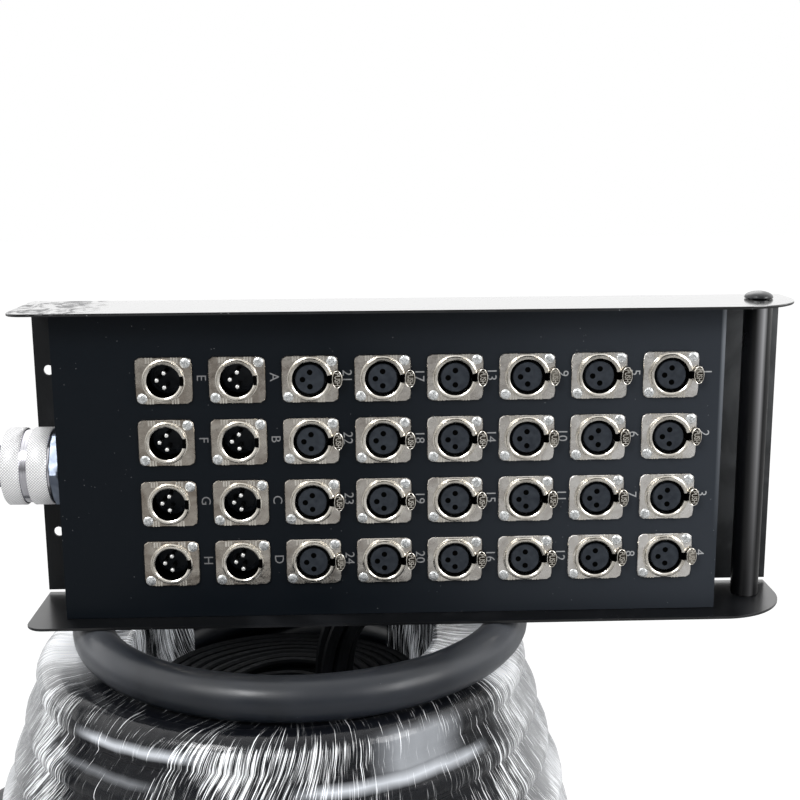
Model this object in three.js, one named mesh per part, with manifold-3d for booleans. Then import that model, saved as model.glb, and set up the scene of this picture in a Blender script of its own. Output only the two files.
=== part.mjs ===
// A stage box snake: a steel box of 24 female and 8 male three-pin sockets with a carrying tube,
// standing on the film-wrapped coil of its multicore cable.
// Millimetres, +Z up. The origin is on the floor, under the middle of the box and the wrap together.
import * as THREE from "three";
import { mergeVertices } from "three/addons/utils/BufferGeometryUtils.js";
import Module from "manifold-3d";

const wasm = await Module();
wasm.setup();

// Clearances and shared values
const GAP = 0.3; // between pieces that touch
const LOOSE_FIT = 0.6; // round threads, the cable and the latch tabs
const OVERRUN = 2; // how far a cut runs past what it cuts
const WELD = 0.2; // how deep joined parts of one piece reach into each other
const HEX_SIDES = 6;
const RIGHT_ANGLE = Math.PI / 2;
const FULL_TURN = Math.PI * 2;

// Socket grid on the front panel
const COLUMNS = 8;
const MALE_COLUMNS = 2; // the left ones
const ROWS = 4;
const COLUMN_PITCH = 40;
const ROW_PITCH = 35;

// Steel box
const SHEET = 1.5;
const LEFT_MARGIN = 61; // from the first column to the left wall
const RIGHT_MARGIN = 30;
const TOP_MARGIN = 37.5; // from the top row to the top cheek
const BOTTOM_MARGIN = 32.5;
const REAR_FLANGE = 12;

// Cheeks: the top and bottom plates
const CHEEK_SHEET = 1.5;
const CHEEK_LIP = 14; // in front of the panel
const CHEEK_LEFT = 21; // past the left wall
const CHEEK_RIGHT = 44; // past the right wall
const CHEEK_LEFT_RADIUS = 10;
const CHEEK_RIGHT_RADIUS = 40;
const CHEEK_CORNER_STEPS = 6;

// Back cover with its mounting holes
const COVER_SHEET = 1.5;
const COVER_SLIT = 2; // between the cover and each cheek
const EAR_HOLE_RADIUS = 3;
const EAR_HOLE_SIDES = 12;
const EAR_HOLE_SPACING = 98;
const LEFT_EAR_HOLE = 13; // from the left wall to the holes' middle
const RIGHT_EAR_HOLE = 26.7;

// Carrying tube and its bolts
const HANDLE_RADIUS = 8;
const HANDLE_OUT = 25; // from the right wall to the tube's axis
const HANDLE_BACK = 23.5; // from the panel's face to the tube's axis
const HANDLE_SIDES = 16;
const BOLT_RADIUS = 3;
const BOLT_SIDES = 12;
const BOLT_REACH = 20; // into the tube
const BOLT_HOLE_DEPTH = 24;
const BOLT_CLEARANCE = 0.3;
const DOME_RADIUS = 8;
const DOME_HEIGHT = 4.2;
const DOME_STEPS = 4;

// Three-pin sockets
const SOCKET_SIDES = 8;
const FLANGE_WIDTH = 31;
const FLANGE_HEIGHT = 26;
const FLANGE_SHEET = 1.2;
const FLANGE_CORNER = 3.5;
const BARREL_RADIUS = 11.8;
const BARREL_BORE_RADIUS = 10;
const BARREL_BACK = 20; // behind the panel's face
const RING_PROUD = 2; // in front of the flange
const PANEL_HOLE_CLEARANCE = 0.4;
const NOTCH_HALF = 2.5;
const NOTCH_INNER = 8.4; // from the socket's axis
const NOTCH_OUTER = 13.2;
const NOTCH_BACK = 9;
const KEYWAY_HALF = 1.6;
const KEYWAY_OUTER = 11;
const KEYWAY_DEPTH = 6;
const INSERT_RADIUS = 8; // the female insert's nose
const INSERT_RECESS = 0.8; // behind the ring's front
const INSERT_BASE_FRONT = 12;
const INSERT_BACK = 22;
const INSERT_CLEARANCE = 0.3;
const PIN_CIRCLE_RADIUS = 4;
const PIN_ANGLES = [RIGHT_ANGLE, RIGHT_ANGLE * 2, RIGHT_ANGLE * 3];
const PIN_RADIUS = 1.2;
const PIN_HOLE_RADIUS = 1.4;
const PIN_SIDES = 6;
const PIN_HOLE_SIDES = 4;
const PIN_RECESS = 2.4; // pin tip behind the ring's front
const GROUND_STRIP = 1.1; // thickness of the bare earth wire along a column
const GROUND_STRIP_BACK = 18;
const GROUND_STRIP_WIDTH = 2;
const WIRE_HALF = 3; // half the width of a column's wires
const WIRE_BACK = 27;

// Latch tabs of the female sockets
const TAB_OUT = 15; // from the socket's axis to the oval's middle
const TAB_HALF_WIDTH = 2.9;
const TAB_HALF_HEIGHT = 5;
const TAB_SHEET = 1.2;
const TAB_TRAVEL = 1.2;
const TAB_SIDES = 8;
const TAB_STEM_HALF = 1.9;
const TAB_STEM_INNER = 9.4;
const TAB_STEM_OUTER = 11.2;
const TAB_STEM_BACK = 5;

// Wiring loom inside the box
const LOOM_HALF_HEIGHT = 6;
const LOOM_DEPTH = 9;
const LOOM_CABLE_END = 20; // of the cable inside the left wall
const LOOM_PAST_LAST = 6;

// Cable gland in the left wall
const GLAND_SIDES = 18;
const GLAND_BORE_CLEARANCE = 1; // round the cable
const GLAND_WALL = 5; // of the thread
const GLAND_HEX_CORNER = 5; // its corners outside the thread
const GLAND_HEX_LENGTH = 4.8;
const GLAND_INSIDE = 12; // of thread inside the wall
const GLAND_SLEEVE = 12; // outside the hexagon
const LOCK_NUT_FLAT = 1.7; // its flats outside the thread
const LOCK_NUT_LENGTH = 6;
const NUT_WALL = 3.6; // outside its bore
const NUT_STEP = 1.2; // from the knurled bands down to the rim and the groove
const NUT_RIM = 1.2; // plain rim beside the hexagon
const NUT_FIRST_BAND = 11;
const NUT_GROOVE = 4;
const NUT_LENGTH = 27;
const NUT_LIP = 6;
const SEAL_LENGTH = 8.6;

// Multicore cable and its coil
const CABLE_RADIUS = 12;
const LAYER_PITCH = 25.2;
const LAYER_RADII = [156, 162, 157.5, 149, 141.5, 134]; // wrapped turns, from the floor up
const TOP_TURN_RADIUS = 124.5; // the bare turn that the box stands on
const TOP_TURN_RIGHT = 12; // from the coil's axis to the middle of that turn
const SHIFT_STEPS = 4; // in which that turn moves over to the right
const CORE_BORE_RADIUS = 90.8;
const COIL_SIDES = 6;
const TURN_STEPS = 24;
const LEVEL_STEPS = 18; // steps of a turn that lie level
const CLIMB_STEPS = 5; // steps in which a turn climbs to the next layer
const FINE_POINTS = 4; // for each step, where the least gap is measured
const LEVEL_START = Math.PI / 4; // each level stretch starts at the right of the back
const END_STEPS = 5; // the top turn's end winds inwards for these
const END_INWARD = 7.2; // for each such step
const BACK_STEPS = 3; // of the end, in which it comes back to the coil's axis
const FLOOR_GAP = 0.8; // under the lowest turn: the wrap and a clearance
const LEAD_SIDES = 8;
const LEAD_STEPS = 20;

// Film wrap round the coil
const WRAP_WALL = 0.5;

// Place of the box on the coil
const BOX_RIGHT_OF_COIL = 81; // from the coil's axis to the middle of the grid
const FACE_BEFORE_COIL = 44; // from the coil's axis forward to the panel's face

// Fan-out at the cable's far end, kept in the coil's hollow
const BOOT_NECK_RADIUS = 12;
const BOOT_RADIUS = 15; // where the tails come out
const BOOT_SIDES = 8;
const TAILS_TOP = 118;
const TAILS_HOLE_RADIUS = 26;
const TAILS_CLEARANCE = 0.9;
const TAILS_BUNDLE_RADIUS = 12;
const PLUG_PITCH = 18.9;
const PLUG_RADIUS = 11; // to the corners of its six sides
const PLUG_LENGTH = 62;
const PLUG_ROWS = 4;
const PLUGS_IN_ROW = 8;
const PLUG_ROW_GAP = 0.9; // extra room before the last row
const ROW_STAGGER_SHARE = 0.25; // of the pitch, each row to its own side

// Route of the lead from the gland to the coil: x and y from the coil's axis, z from the floor.
const LEAD_ROUTE = [
  [-167, -22.5, 262.7],
  [-192, -25.5, 261],
  [-222, -35, 254.5],
  [-247, -47.5, 244],
  [-266, -62, 230],
  [-280, -77, 211],
  [-288, -90, 188],
  [-291, -100, 161],
  [-290, -105, 130],
  [-284.5, -102.5, 97],
  [-275, -93, 68.5],
  [-263, -76.5, 45.5],
  [-248.5, -55, 27.5],
  [-232, -29, 16.8],
  [-215, 0, 12.8],
  [-200, 26, 12.8],
  [-186.5, 49.5, 12.8],
  [-174, 72, 12.8],
  [-161.5, 95, 12.8],
  [-146, 118, 12.8],
  [-125, 141, 12.8],
  [-95, 162.5, 12.8],
  [-48, 178, 12.8],
  [0, 182.3, 12.8],
  [46.3, 172.9, 12.8],
];
// Route of the boot and of the tails below it, from the end of the top turn into the hollow.
const BOOT_ROUTE_STEPS = [
  [0, 0, 0],
  [11, -4.65, 0],
  [16, -16, 0],
  [13, -31, -0.5],
  [7, -45, -3],
  [-1, -57, -8],
];
const TAILS_ROUTE_STEPS = [
  [-1, -57, -8],
  [-7, -66, -11.75],
  [-12, -73, -20],
  [-15, -77, -33],
  [-16, -78.5, -50],
];

// Materials
const finish = (color, roughness, metalness) =>
  new THREE.MeshStandardMaterial({ color, roughness, metalness });
const blackPaint = () => finish(0x17181a, 0.45, 0.3);
const nickel = () => finish(0xc9c6bd, 0.25, 1);
const darkPlastic = () => finish(0x26272b, 0.5, 0);
const aluminium = () => finish(0xd6d8dc, 0.28, 1);
const blackRubber = () => finish(0x1b1c1f, 0.6, 0);
const clearFilm = () =>
  new THREE.MeshStandardMaterial({ color: 0xe8ecf0, roughness: 0.1, transparent: true, opacity: 0.35 });
const cableJacket = () => finish(0x2a2c30, 0.55, 0);

// Solids
function body(geometry) {
  const bare = geometry.clone();
  bare.deleteAttribute("normal");
  bare.deleteAttribute("uv");
  const merged = mergeVertices(bare);
  return new wasm.Manifold(
    new wasm.Mesh({
      numProp: 3,
      vertProperties: new Float32Array(merged.attributes.position.array),
      triVerts: new Uint32Array(merged.index.array),
    }),
  );
}

const join = (first, ...others) => others.reduce((made, next) => made.add(next), first);
const cut = (first, ...others) => others.reduce((made, next) => made.subtract(next), first);

function mesh(name, solid, material) {
  const { vertProperties, triVerts } = solid.getMesh();
  const indexed = new THREE.BufferGeometry();
  indexed.setAttribute("position", new THREE.BufferAttribute(vertProperties, 3));
  indexed.setIndex(new THREE.BufferAttribute(triVerts, 1));
  const geometry = indexed.toNonIndexed();
  geometry.computeVertexNormals();
  const made = new THREE.Mesh(geometry, material);
  made.name = name;
  return made;
}

const polygon = (radius, sides, turn = 0) =>
  Array.from({ length: sides }, (_, i) => {
    const angle = turn + (i * FULL_TURN) / sides;
    return new THREE.Vector2(radius * Math.cos(angle), radius * Math.sin(angle));
  });

function outline(points, holes = []) {
  const shape = new THREE.Shape(points);
  shape.holes = holes.map((hole) => new THREE.Path(hole));
  return shape;
}

const rectangle = (x0, y0, x1, y1) => [
  new THREE.Vector2(x0, y0),
  new THREE.Vector2(x1, y0),
  new THREE.Vector2(x1, y1),
  new THREE.Vector2(x0, y1),
];

const moved = (points, x, y) => points.map((p) => new THREE.Vector2(p.x + x, p.y + y));

// A prism along +Z between two heights.
function upright(shape, low, high) {
  const geometry = new THREE.ExtrudeGeometry(shape, { depth: high - low, bevelEnabled: false });
  return body(geometry.translate(0, 0, low));
}

// A prism along +Y, its outline drawn in X and Z.
function deep(shape, front, back) {
  const geometry = new THREE.ExtrudeGeometry(shape, { depth: back - front, bevelEnabled: false });
  return body(geometry.rotateX(RIGHT_ANGLE).translate(0, back, 0));
}

// A prism along +X round its own axis.
function across(shape, left, right) {
  const geometry = new THREE.ExtrudeGeometry(shape, { depth: right - left, bevelEnabled: false });
  return body(geometry.rotateY(RIGHT_ANGLE).translate(left, 0, 0));
}

const block = (x0, x1, y0, y1, z0, z1) =>
  body(
    new THREE.BoxGeometry(x1 - x0, y1 - y0, z1 - z0).translate(
      (x0 + x1) / 2,
      (y0 + y1) / 2,
      (z0 + z1) / 2,
    ),
  );

// Faces between rings of points, each ring closed on itself.
function skin(rings, indices, facesOut) {
  rings.slice(1).forEach((ring, i) => {
    ring.forEach((b, k) => {
      const next = (k + 1) % ring.length;
      const corners = [rings[i][k], rings[i][next], ring[next], b];
      const order = facesOut ? [0, 1, 2, 0, 2, 3] : [0, 2, 1, 0, 3, 2];
      indices.push(...order.map((o) => corners[o]));
    });
  });
}

function faceted(positions, indices) {
  const geometry = new THREE.BufferGeometry();
  geometry.setAttribute("position", new THREE.Float32BufferAttribute(positions, 3));
  geometry.setIndex(indices);
  const made = body(geometry);
  return made.volume() < 0 ? body(flipped(geometry)) : made;
}

function flipped(geometry) {
  const turned = geometry.clone();
  const index = Array.from(turned.index.array);
  for (let i = 0; i < index.length; i += 3) {
    [index[i + 1], index[i + 2]] = [index[i + 2], index[i + 1]];
  }
  turned.setIndex(index);
  return turned;
}

// A tube along points, whose section keeps one axis level. radii gives the corner radius at each point.
function levelTube(points, radii, sides, turn) {
  const positions = [];
  const up = new THREE.Vector3(0, 0, 1);
  const rings = points.map((p, i) => {
    const ahead = points[Math.min(i + 1, points.length - 1)];
    const behind = points[Math.max(i - 1, 0)];
    const along = ahead.clone().sub(behind).normalize();
    const side = along.clone().cross(up).normalize();
    const above = side.clone().cross(along);
    return polygon(radii[i], sides, turn).map((corner) => {
      const at = p.clone().addScaledVector(side, corner.x).addScaledVector(above, corner.y);
      positions.push(at.x, at.y, at.z);
      return positions.length / 3 - 1;
    });
  });
  const indices = [];
  skin(rings, indices, true);
  for (let k = 1; k < sides - 1; k += 1) {
    const [first, last] = [rings[0], rings[rings.length - 1]];
    indices.push(first[0], first[k + 1], first[k]);
    indices.push(last[0], last[k], last[k + 1]);
  }
  return faceted(positions, indices);
}

// Places worked out from the sizes, in the box's own frame:
// x and z from the middle of the socket grid, y from the panel's face.
const gridHalfWidth = ((COLUMNS - 1) * COLUMN_PITCH) / 2;
const gridHalfHeight = ((ROWS - 1) * ROW_PITCH) / 2;
const wallLeft = -gridHalfWidth - LEFT_MARGIN;
const wallRight = gridHalfWidth + RIGHT_MARGIN;
const topInside = gridHalfHeight + TOP_MARGIN;
const bottomInside = -gridHalfHeight - BOTTOM_MARGIN;
const middleHeight = (topInside + bottomInside) / 2;
const plateLeft = wallLeft - CHEEK_LEFT;
const plateRight = wallRight + CHEEK_RIGHT;
const glandBore = CABLE_RADIUS + GLAND_BORE_CLEARANCE;
const threadRadius = glandBore + GLAND_WALL;
const lockNutHalf = threadRadius + LOCK_NUT_FLAT;
const nutBore = threadRadius + LOOSE_FIT;
const nutRadius = nutBore + NUT_WALL;
// The lock nut lies just behind the panel, and the cap nut just in front of the back cover.
const glandBack = SHEET + GAP + lockNutHalf;
const bodyDepth = glandBack + nutRadius + GAP;
const coverBack = bodyDepth + GAP + COVER_SHEET;
const handleX = wallRight + HANDLE_OUT;
const flangeFront = -GAP - FLANGE_SHEET;
const ringFront = flangeFront - RING_PROUD;
const columnX = (column) => column * COLUMN_PITCH - gridHalfWidth;
const rowZ = (row) => gridHalfHeight - row * ROW_PITCH;
const sockets = [];
for (let column = 0; column < COLUMNS; column += 1) {
  for (let row = 0; row < ROWS; row += 1) {
    sockets.push({ column, row, x: columnX(column), z: rowZ(row), male: column < MALE_COLUMNS });
  }
}

// Places of the coil: x and y from its axis, z from the floor.
const layers = LAYER_RADII.map((radius, i) => ({
  radius,
  z: FLOOR_GAP + CABLE_RADIUS + i * LAYER_PITCH,
  right: 0,
}));
const wrappedTop = layers[layers.length - 1].z + CABLE_RADIUS;
const topTurn = {
  radius: TOP_TURN_RADIUS,
  z: wrappedTop + GAP + WRAP_WALL + GAP + CABLE_RADIUS,
  right: TOP_TURN_RIGHT,
};
const sectionRadius = CABLE_RADIUS / Math.cos(Math.PI / COIL_SIDES); // flats stand a radius away
const coreBottom = FLOOR_GAP;
const boxUnderside = topTurn.z + CABLE_RADIUS + GAP;
const gridHeight = boxUnderside + CHEEK_SHEET - bottomInside;
const wrapFlatHalf = sectionRadius * Math.sin(Math.PI / COIL_SIDES);
const wrapOutside = Math.max(...LAYER_RADII) + sectionRadius + GAP + WRAP_WALL;
const wrapBoreRadius = CORE_BORE_RADIUS - GAP - WRAP_WALL;

function steelBox() {
  const holes = sockets.map(({ x, z }) =>
    moved(polygon(BARREL_RADIUS + PANEL_HOLE_CLEARANCE, SOCKET_SIDES), x, z),
  );
  const low = bottomInside + GAP;
  const high = topInside - GAP;
  const panel = deep(outline(rectangle(wallLeft, low, wallRight, high), holes), 0, SHEET);
  const glandHole = across(
    outline(polygon(nutBore, GLAND_SIDES)),
    wallLeft - OVERRUN,
    wallLeft + SHEET + OVERRUN,
  ).translate([0, glandBack, 0]);
  const leftWall = cut(block(wallLeft, wallLeft + SHEET, WELD, bodyDepth, low, high), glandHole);
  const rightWall = block(wallRight - SHEET, wallRight, WELD, bodyDepth, low, high);
  const flangeDepth = bodyDepth - SHEET;
  const leftFlange = block(wallLeft + WELD, wallLeft + REAR_FLANGE, flangeDepth, bodyDepth, low, high);
  const rightFlange = block(wallRight - REAR_FLANGE, wallRight - WELD, flangeDepth, bodyDepth, low, high);
  return join(panel, leftWall, rightWall, leftFlange, rightFlange);
}

function cheek(inside, outside) {
  const front = -CHEEK_LIP;
  const shape = new THREE.Shape();
  shape.moveTo(plateLeft, coverBack);
  shape.lineTo(plateLeft, front + CHEEK_LEFT_RADIUS);
  shape.absarc(
    plateLeft + CHEEK_LEFT_RADIUS,
    front + CHEEK_LEFT_RADIUS,
    CHEEK_LEFT_RADIUS,
    Math.PI,
    Math.PI + RIGHT_ANGLE,
  );
  shape.absarc(
    plateRight - CHEEK_RIGHT_RADIUS,
    front + CHEEK_RIGHT_RADIUS,
    CHEEK_RIGHT_RADIUS,
    -RIGHT_ANGLE,
    0,
  );
  shape.lineTo(plateRight, coverBack);
  const points = shape.getPoints(CHEEK_CORNER_STEPS);
  const hole = moved(polygon(BOLT_RADIUS + BOLT_CLEARANCE, BOLT_SIDES), handleX, HANDLE_BACK);
  const [low, high] = [Math.min(inside, outside), Math.max(inside, outside)];
  return upright(outline(points, [hole]), low, high);
}

function backCover() {
  const holeRows = [middleHeight - EAR_HOLE_SPACING / 2, middleHeight + EAR_HOLE_SPACING / 2];
  const holeColumns = [wallLeft - LEFT_EAR_HOLE, wallRight + RIGHT_EAR_HOLE];
  const holes = holeColumns.flatMap((x) =>
    holeRows.map((z) => moved(polygon(EAR_HOLE_RADIUS, EAR_HOLE_SIDES), x, z)),
  );
  const edge = rectangle(plateLeft, bottomInside + COVER_SLIT, plateRight, topInside - COVER_SLIT);
  return deep(outline(edge, holes), bodyDepth + GAP, coverBack);
}

function handleTube() {
  const low = bottomInside + GAP;
  const high = topInside - GAP;
  const bore = outline(polygon(BOLT_RADIUS + BOLT_CLEARANCE, BOLT_SIDES));
  const bar = upright(outline(polygon(HANDLE_RADIUS, HANDLE_SIDES)), low, high);
  return cut(
    bar,
    upright(bore, low - OVERRUN, low + BOLT_HOLE_DEPTH),
    upright(bore, high - BOLT_HOLE_DEPTH, high + OVERRUN),
  ).translate([handleX, HANDLE_BACK, 0]);
}

// A domed bolt standing head up, its seat at z = 0.
function domeBolt() {
  const dome = [new THREE.Vector2(0, GAP)];
  for (let i = 0; i <= DOME_STEPS; i += 1) {
    const angle = (i / DOME_STEPS) * RIGHT_ANGLE;
    dome.push(
      new THREE.Vector2(
        i === DOME_STEPS ? 0 : DOME_RADIUS * Math.cos(angle),
        GAP + DOME_HEIGHT * Math.sin(angle),
      ),
    );
  }
  const head = body(new THREE.LatheGeometry(dome, BOLT_SIDES).rotateX(RIGHT_ANGLE));
  const shank = upright(outline(polygon(BOLT_RADIUS, BOLT_SIDES)), -BOLT_REACH - CHEEK_SHEET, GAP + WELD);
  return join(head, shank);
}

function flangeOutline() {
  const [w, h, c] = [FLANGE_WIDTH / 2, FLANGE_HEIGHT / 2, FLANGE_CORNER];
  return [
    new THREE.Vector2(-w + c, -h),
    new THREE.Vector2(w - c, -h),
    new THREE.Vector2(w, -h + c),
    new THREE.Vector2(w, h - c),
    new THREE.Vector2(w - c, h),
    new THREE.Vector2(-w + c, h),
    new THREE.Vector2(-w, h - c),
    new THREE.Vector2(-w, -h + c),
  ];
}

// The nickel shell of one socket: flange, ring and barrel, open from front to back.
function socketShell(male) {
  const bore = polygon(BARREL_BORE_RADIUS, SOCKET_SIDES);
  const barrel = deep(outline(polygon(BARREL_RADIUS, SOCKET_SIDES), [bore]), ringFront, BARREL_BACK);
  const inBarrel = polygon(BARREL_RADIUS - WELD, SOCKET_SIDES);
  const flange = deep(outline(flangeOutline(), [inBarrel]), flangeFront, -GAP);
  const slot = male
    ? block(0, KEYWAY_OUTER, ringFront - OVERRUN, ringFront + KEYWAY_DEPTH, -KEYWAY_HALF, KEYWAY_HALF)
    : block(NOTCH_INNER, NOTCH_OUTER, ringFront - OVERRUN, NOTCH_BACK, -NOTCH_HALF, NOTCH_HALF);
  return cut(join(barrel, flange), slot);
}

// The four shells of a column, joined by their bare earth wire.
function columnShells(column) {
  const shell = socketShell(column < MALE_COLUMNS);
  const wallMiddle = -(BARREL_RADIUS + BARREL_BORE_RADIUS) / 2;
  const strip = block(
    wallMiddle - GROUND_STRIP / 2,
    wallMiddle + GROUND_STRIP / 2,
    GROUND_STRIP_BACK - GROUND_STRIP_WIDTH,
    GROUND_STRIP_BACK,
    rowZ(ROWS - 1),
    rowZ(0),
  );
  const shells = Array.from({ length: ROWS }, (_, row) => shell.translate([0, 0, rowZ(row)]));
  return join(strip, ...shells).translate([columnX(column), 0, 0]);
}

function socketInsert(male) {
  const base = deep(
    outline(polygon(BARREL_BORE_RADIUS - INSERT_CLEARANCE, SOCKET_SIDES)),
    INSERT_BASE_FRONT,
    INSERT_BACK,
  );
  const places = PIN_ANGLES.map((angle) => [
    PIN_CIRCLE_RADIUS * Math.cos(angle),
    PIN_CIRCLE_RADIUS * Math.sin(angle),
  ]);
  if (male) {
    const pins = places.map(([x, z]) =>
      deep(
        outline(moved(polygon(PIN_RADIUS, PIN_SIDES), x, z)),
        ringFront + PIN_RECESS,
        INSERT_BASE_FRONT + WELD,
      ),
    );
    return join(base, ...pins);
  }
  const holes = places.map(([x, z]) => moved(polygon(PIN_HOLE_RADIUS, PIN_HOLE_SIDES), x, z));
  const nose = deep(
    outline(polygon(INSERT_RADIUS, SOCKET_SIDES), holes),
    ringFront + INSERT_RECESS,
    INSERT_BASE_FRONT + WELD,
  );
  return join(nose, base);
}

// The four inserts of a column, joined by the wires that run down behind them.
function columnInserts(column) {
  const insert = socketInsert(column < MALE_COLUMNS);
  const wires = block(-WIRE_HALF, WIRE_HALF, INSERT_BACK - WELD, WIRE_BACK, rowZ(ROWS - 1), rowZ(0));
  const inserts = Array.from({ length: ROWS }, (_, row) => insert.translate([0, 0, rowZ(row)]));
  return join(wires, ...inserts).translate([columnX(column), 0, 0]);
}

// The oval latch tab, hovering one travel above the flange, on a stem in the shell's notch.
function latchTab() {
  const back = flangeFront - TAB_TRAVEL - GAP;
  const oval = polygon(1, TAB_SIDES).map(
    (p) => new THREE.Vector2(TAB_OUT + p.x * TAB_HALF_WIDTH, p.y * TAB_HALF_HEIGHT),
  );
  const plate = deep(outline(oval), back - TAB_SHEET, back);
  const neck = block(TAB_STEM_INNER, TAB_OUT, back - TAB_SHEET, back, -TAB_STEM_HALF, TAB_STEM_HALF);
  const stem = block(
    TAB_STEM_INNER,
    TAB_STEM_OUTER,
    back - TAB_SHEET,
    TAB_STEM_BACK,
    -TAB_STEM_HALF,
    TAB_STEM_HALF,
  );
  return join(plate, neck, stem);
}

// The cable's inside end and the bundle that carries its pairs to the columns.
function wiringLoom() {
  const front = WIRE_BACK + GAP;
  const cable = across(
    outline(polygon(CABLE_RADIUS, GLAND_SIDES)),
    wallLeft - glandReach,
    wallLeft + LOOM_CABLE_END,
  ).translate([0, glandBack, 0]);
  const bundle = block(
    wallLeft + SHEET + GLAND_INSIDE + GAP,
    gridHalfWidth + LOOM_PAST_LAST,
    front,
    front + LOOM_DEPTH,
    -LOOM_HALF_HEIGHT,
    LOOM_HALF_HEIGHT,
  );
  return join(cable, bundle);
}

// Gland pieces, along X from the left wall outwards. Distances are from the wall's outer face.
const hexOuter = GAP + GLAND_HEX_LENGTH;
const nutInner = hexOuter + GAP;
const glandReach = nutInner + NUT_LENGTH;
const outwards = (shape, near, far) =>
  across(shape, wallLeft - far, wallLeft - near).translate([0, glandBack, 0]);
const round = (radius) => polygon(radius, GLAND_SIDES);

function glandBody() {
  const bore = round(glandBore);
  const hexagon = polygon(threadRadius + GLAND_HEX_CORNER, HEX_SIDES);
  const hex = outwards(outline(hexagon, [bore]), GAP, hexOuter);
  const thread = outline(round(threadRadius), [bore]);
  const inside = outwards(thread, -SHEET - GLAND_INSIDE, GAP + WELD);
  const sleeve = outwards(thread, hexOuter - WELD, hexOuter + GLAND_SLEEVE);
  return join(hex, inside, sleeve);
}

function lockNut() {
  const bore = round(threadRadius + GAP);
  const near = -SHEET - GAP;
  const hex = polygon(lockNutHalf / Math.cos(Math.PI / HEX_SIDES), HEX_SIDES);
  return outwards(outline(hex, [bore]), near - LOCK_NUT_LENGTH, near);
}

function capNut() {
  const bore = round(nutBore);
  const lipBore = round(CABLE_RADIUS + LOOSE_FIT);
  const low = round(nutRadius - NUT_STEP);
  const high = round(nutRadius);
  const rimEnd = nutInner + NUT_RIM;
  const bandEnd = rimEnd + NUT_FIRST_BAND;
  const grooveEnd = bandEnd + NUT_GROOVE;
  const lipStart = glandReach - NUT_LIP;
  return join(
    outwards(outline(low, [bore]), nutInner, rimEnd + WELD),
    outwards(outline(high, [bore]), rimEnd, bandEnd),
    outwards(outline(low, [bore]), bandEnd - WELD, grooveEnd + WELD),
    outwards(outline(high, [bore]), grooveEnd, lipStart + WELD),
    outwards(outline(high, [lipBore]), lipStart, glandReach),
  );
}

function glandSeal() {
  const near = hexOuter + GLAND_SLEEVE + GAP;
  const bore = round(CABLE_RADIUS + GAP);
  const far = Math.min(near + SEAL_LENGTH, glandReach - NUT_LIP - GAP);
  return outwards(outline(round(threadRadius), [bore]), near, far);
}

// The coil's centreline: level turns, each climbing to the next layer at the back, then a turn inwards.
const stepAngle = FULL_TURN / TURN_STEPS;
const onCoil = (radius, angle, z) =>
  new THREE.Vector3(radius * Math.cos(angle), radius * Math.sin(angle), z);
const eased = (share) => share * share * (3 - 2 * share);

function coilCentreline() {
  const turns = [...layers, topTurn];
  const points = [];
  let angle = LEVEL_START;
  const add = (radius, z, right) => {
    const point = onCoil(radius, angle, z);
    point.x += right;
    points.push(point);
    angle -= stepAngle;
  };
  turns.forEach((turn, i) => {
    const next = turns[i + 1];
    for (let k = 0; k < LEVEL_STEPS; k += 1) {
      const over = eased(Math.min(k / SHIFT_STEPS, 1));
      add(turn.radius, turn.z, turn.right * over);
    }
    if (!next) return;
    for (let k = 0; k < TURN_STEPS - LEVEL_STEPS; k += 1) {
      const share = eased(Math.min(k / CLIMB_STEPS, 1));
      const between = (from, to) => from + (to - from) * share;
      add(between(turn.radius, next.radius), between(turn.z, next.z), 0);
    }
  });
  for (let k = 0; k < END_STEPS; k += 1) {
    const back = eased(Math.min(k / BACK_STEPS, 1));
    add(topTurn.radius - END_INWARD * k, topTurn.z, topTurn.right * (1 - back));
  }
  return points;
}

// The same centreline with a straight run of one diameter at each end.
function windingPoints() {
  const points = coilCentreline();
  const startWay = onCoil(1, LEVEL_START + RIGHT_ANGLE, 0);
  const last = points[points.length - 1];
  const endWay = last.clone().sub(points[points.length - 2]).normalize();
  return [
    points[0].clone().addScaledVector(startWay, CABLE_RADIUS * 2),
    ...points,
    last.clone().addScaledVector(endWay, CABLE_RADIUS * 2),
  ];
}

// The least gap of the winding to itself, on points along it more than half a turn apart.
function leastGap(points) {
  let least = Infinity;
  const curve = new THREE.CatmullRomCurve3(points);
  const fine = curve.getSpacedPoints(points.length * FINE_POINTS);
  const apart = (TURN_STEPS * FINE_POINTS) / 2;
  for (let i = 0; i < fine.length; i += 1) {
    for (let k = i + apart; k < fine.length; k += 1) {
      least = Math.min(least, fine[i].distanceTo(fine[k]));
    }
  }
  return least - CABLE_RADIUS * 2;
}

const winding = windingPoints();
console.log("least gap of the coil to itself, mm:", leastGap(winding).toFixed(2));

const coilWinding = () =>
  levelTube(
    winding,
    winding.map(() => sectionRadius),
    COIL_SIDES,
    0,
  );

// The plain core of inner turns, behind the outer layer.
function coilCore() {
  const clear = sectionRadius + GAP;
  const last = layers[layers.length - 1];
  const share = (wrappedTop - last.z) / (topTurn.z - last.z);
  const topRadius = last.radius + (topTurn.radius - last.radius) * share;
  const profile = [
    new THREE.Vector2(CORE_BORE_RADIUS, coreBottom),
    new THREE.Vector2(layers[0].radius - clear, coreBottom),
    ...layers.map(({ radius, z }) => new THREE.Vector2(radius - clear, z)),
    new THREE.Vector2(topRadius - clear, wrappedTop),
    new THREE.Vector2(CORE_BORE_RADIUS, wrappedTop),
    new THREE.Vector2(CORE_BORE_RADIUS, coreBottom),
  ];
  return body(new THREE.LatheGeometry(profile, TURN_STEPS).rotateX(RIGHT_ANGLE));
}

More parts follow.
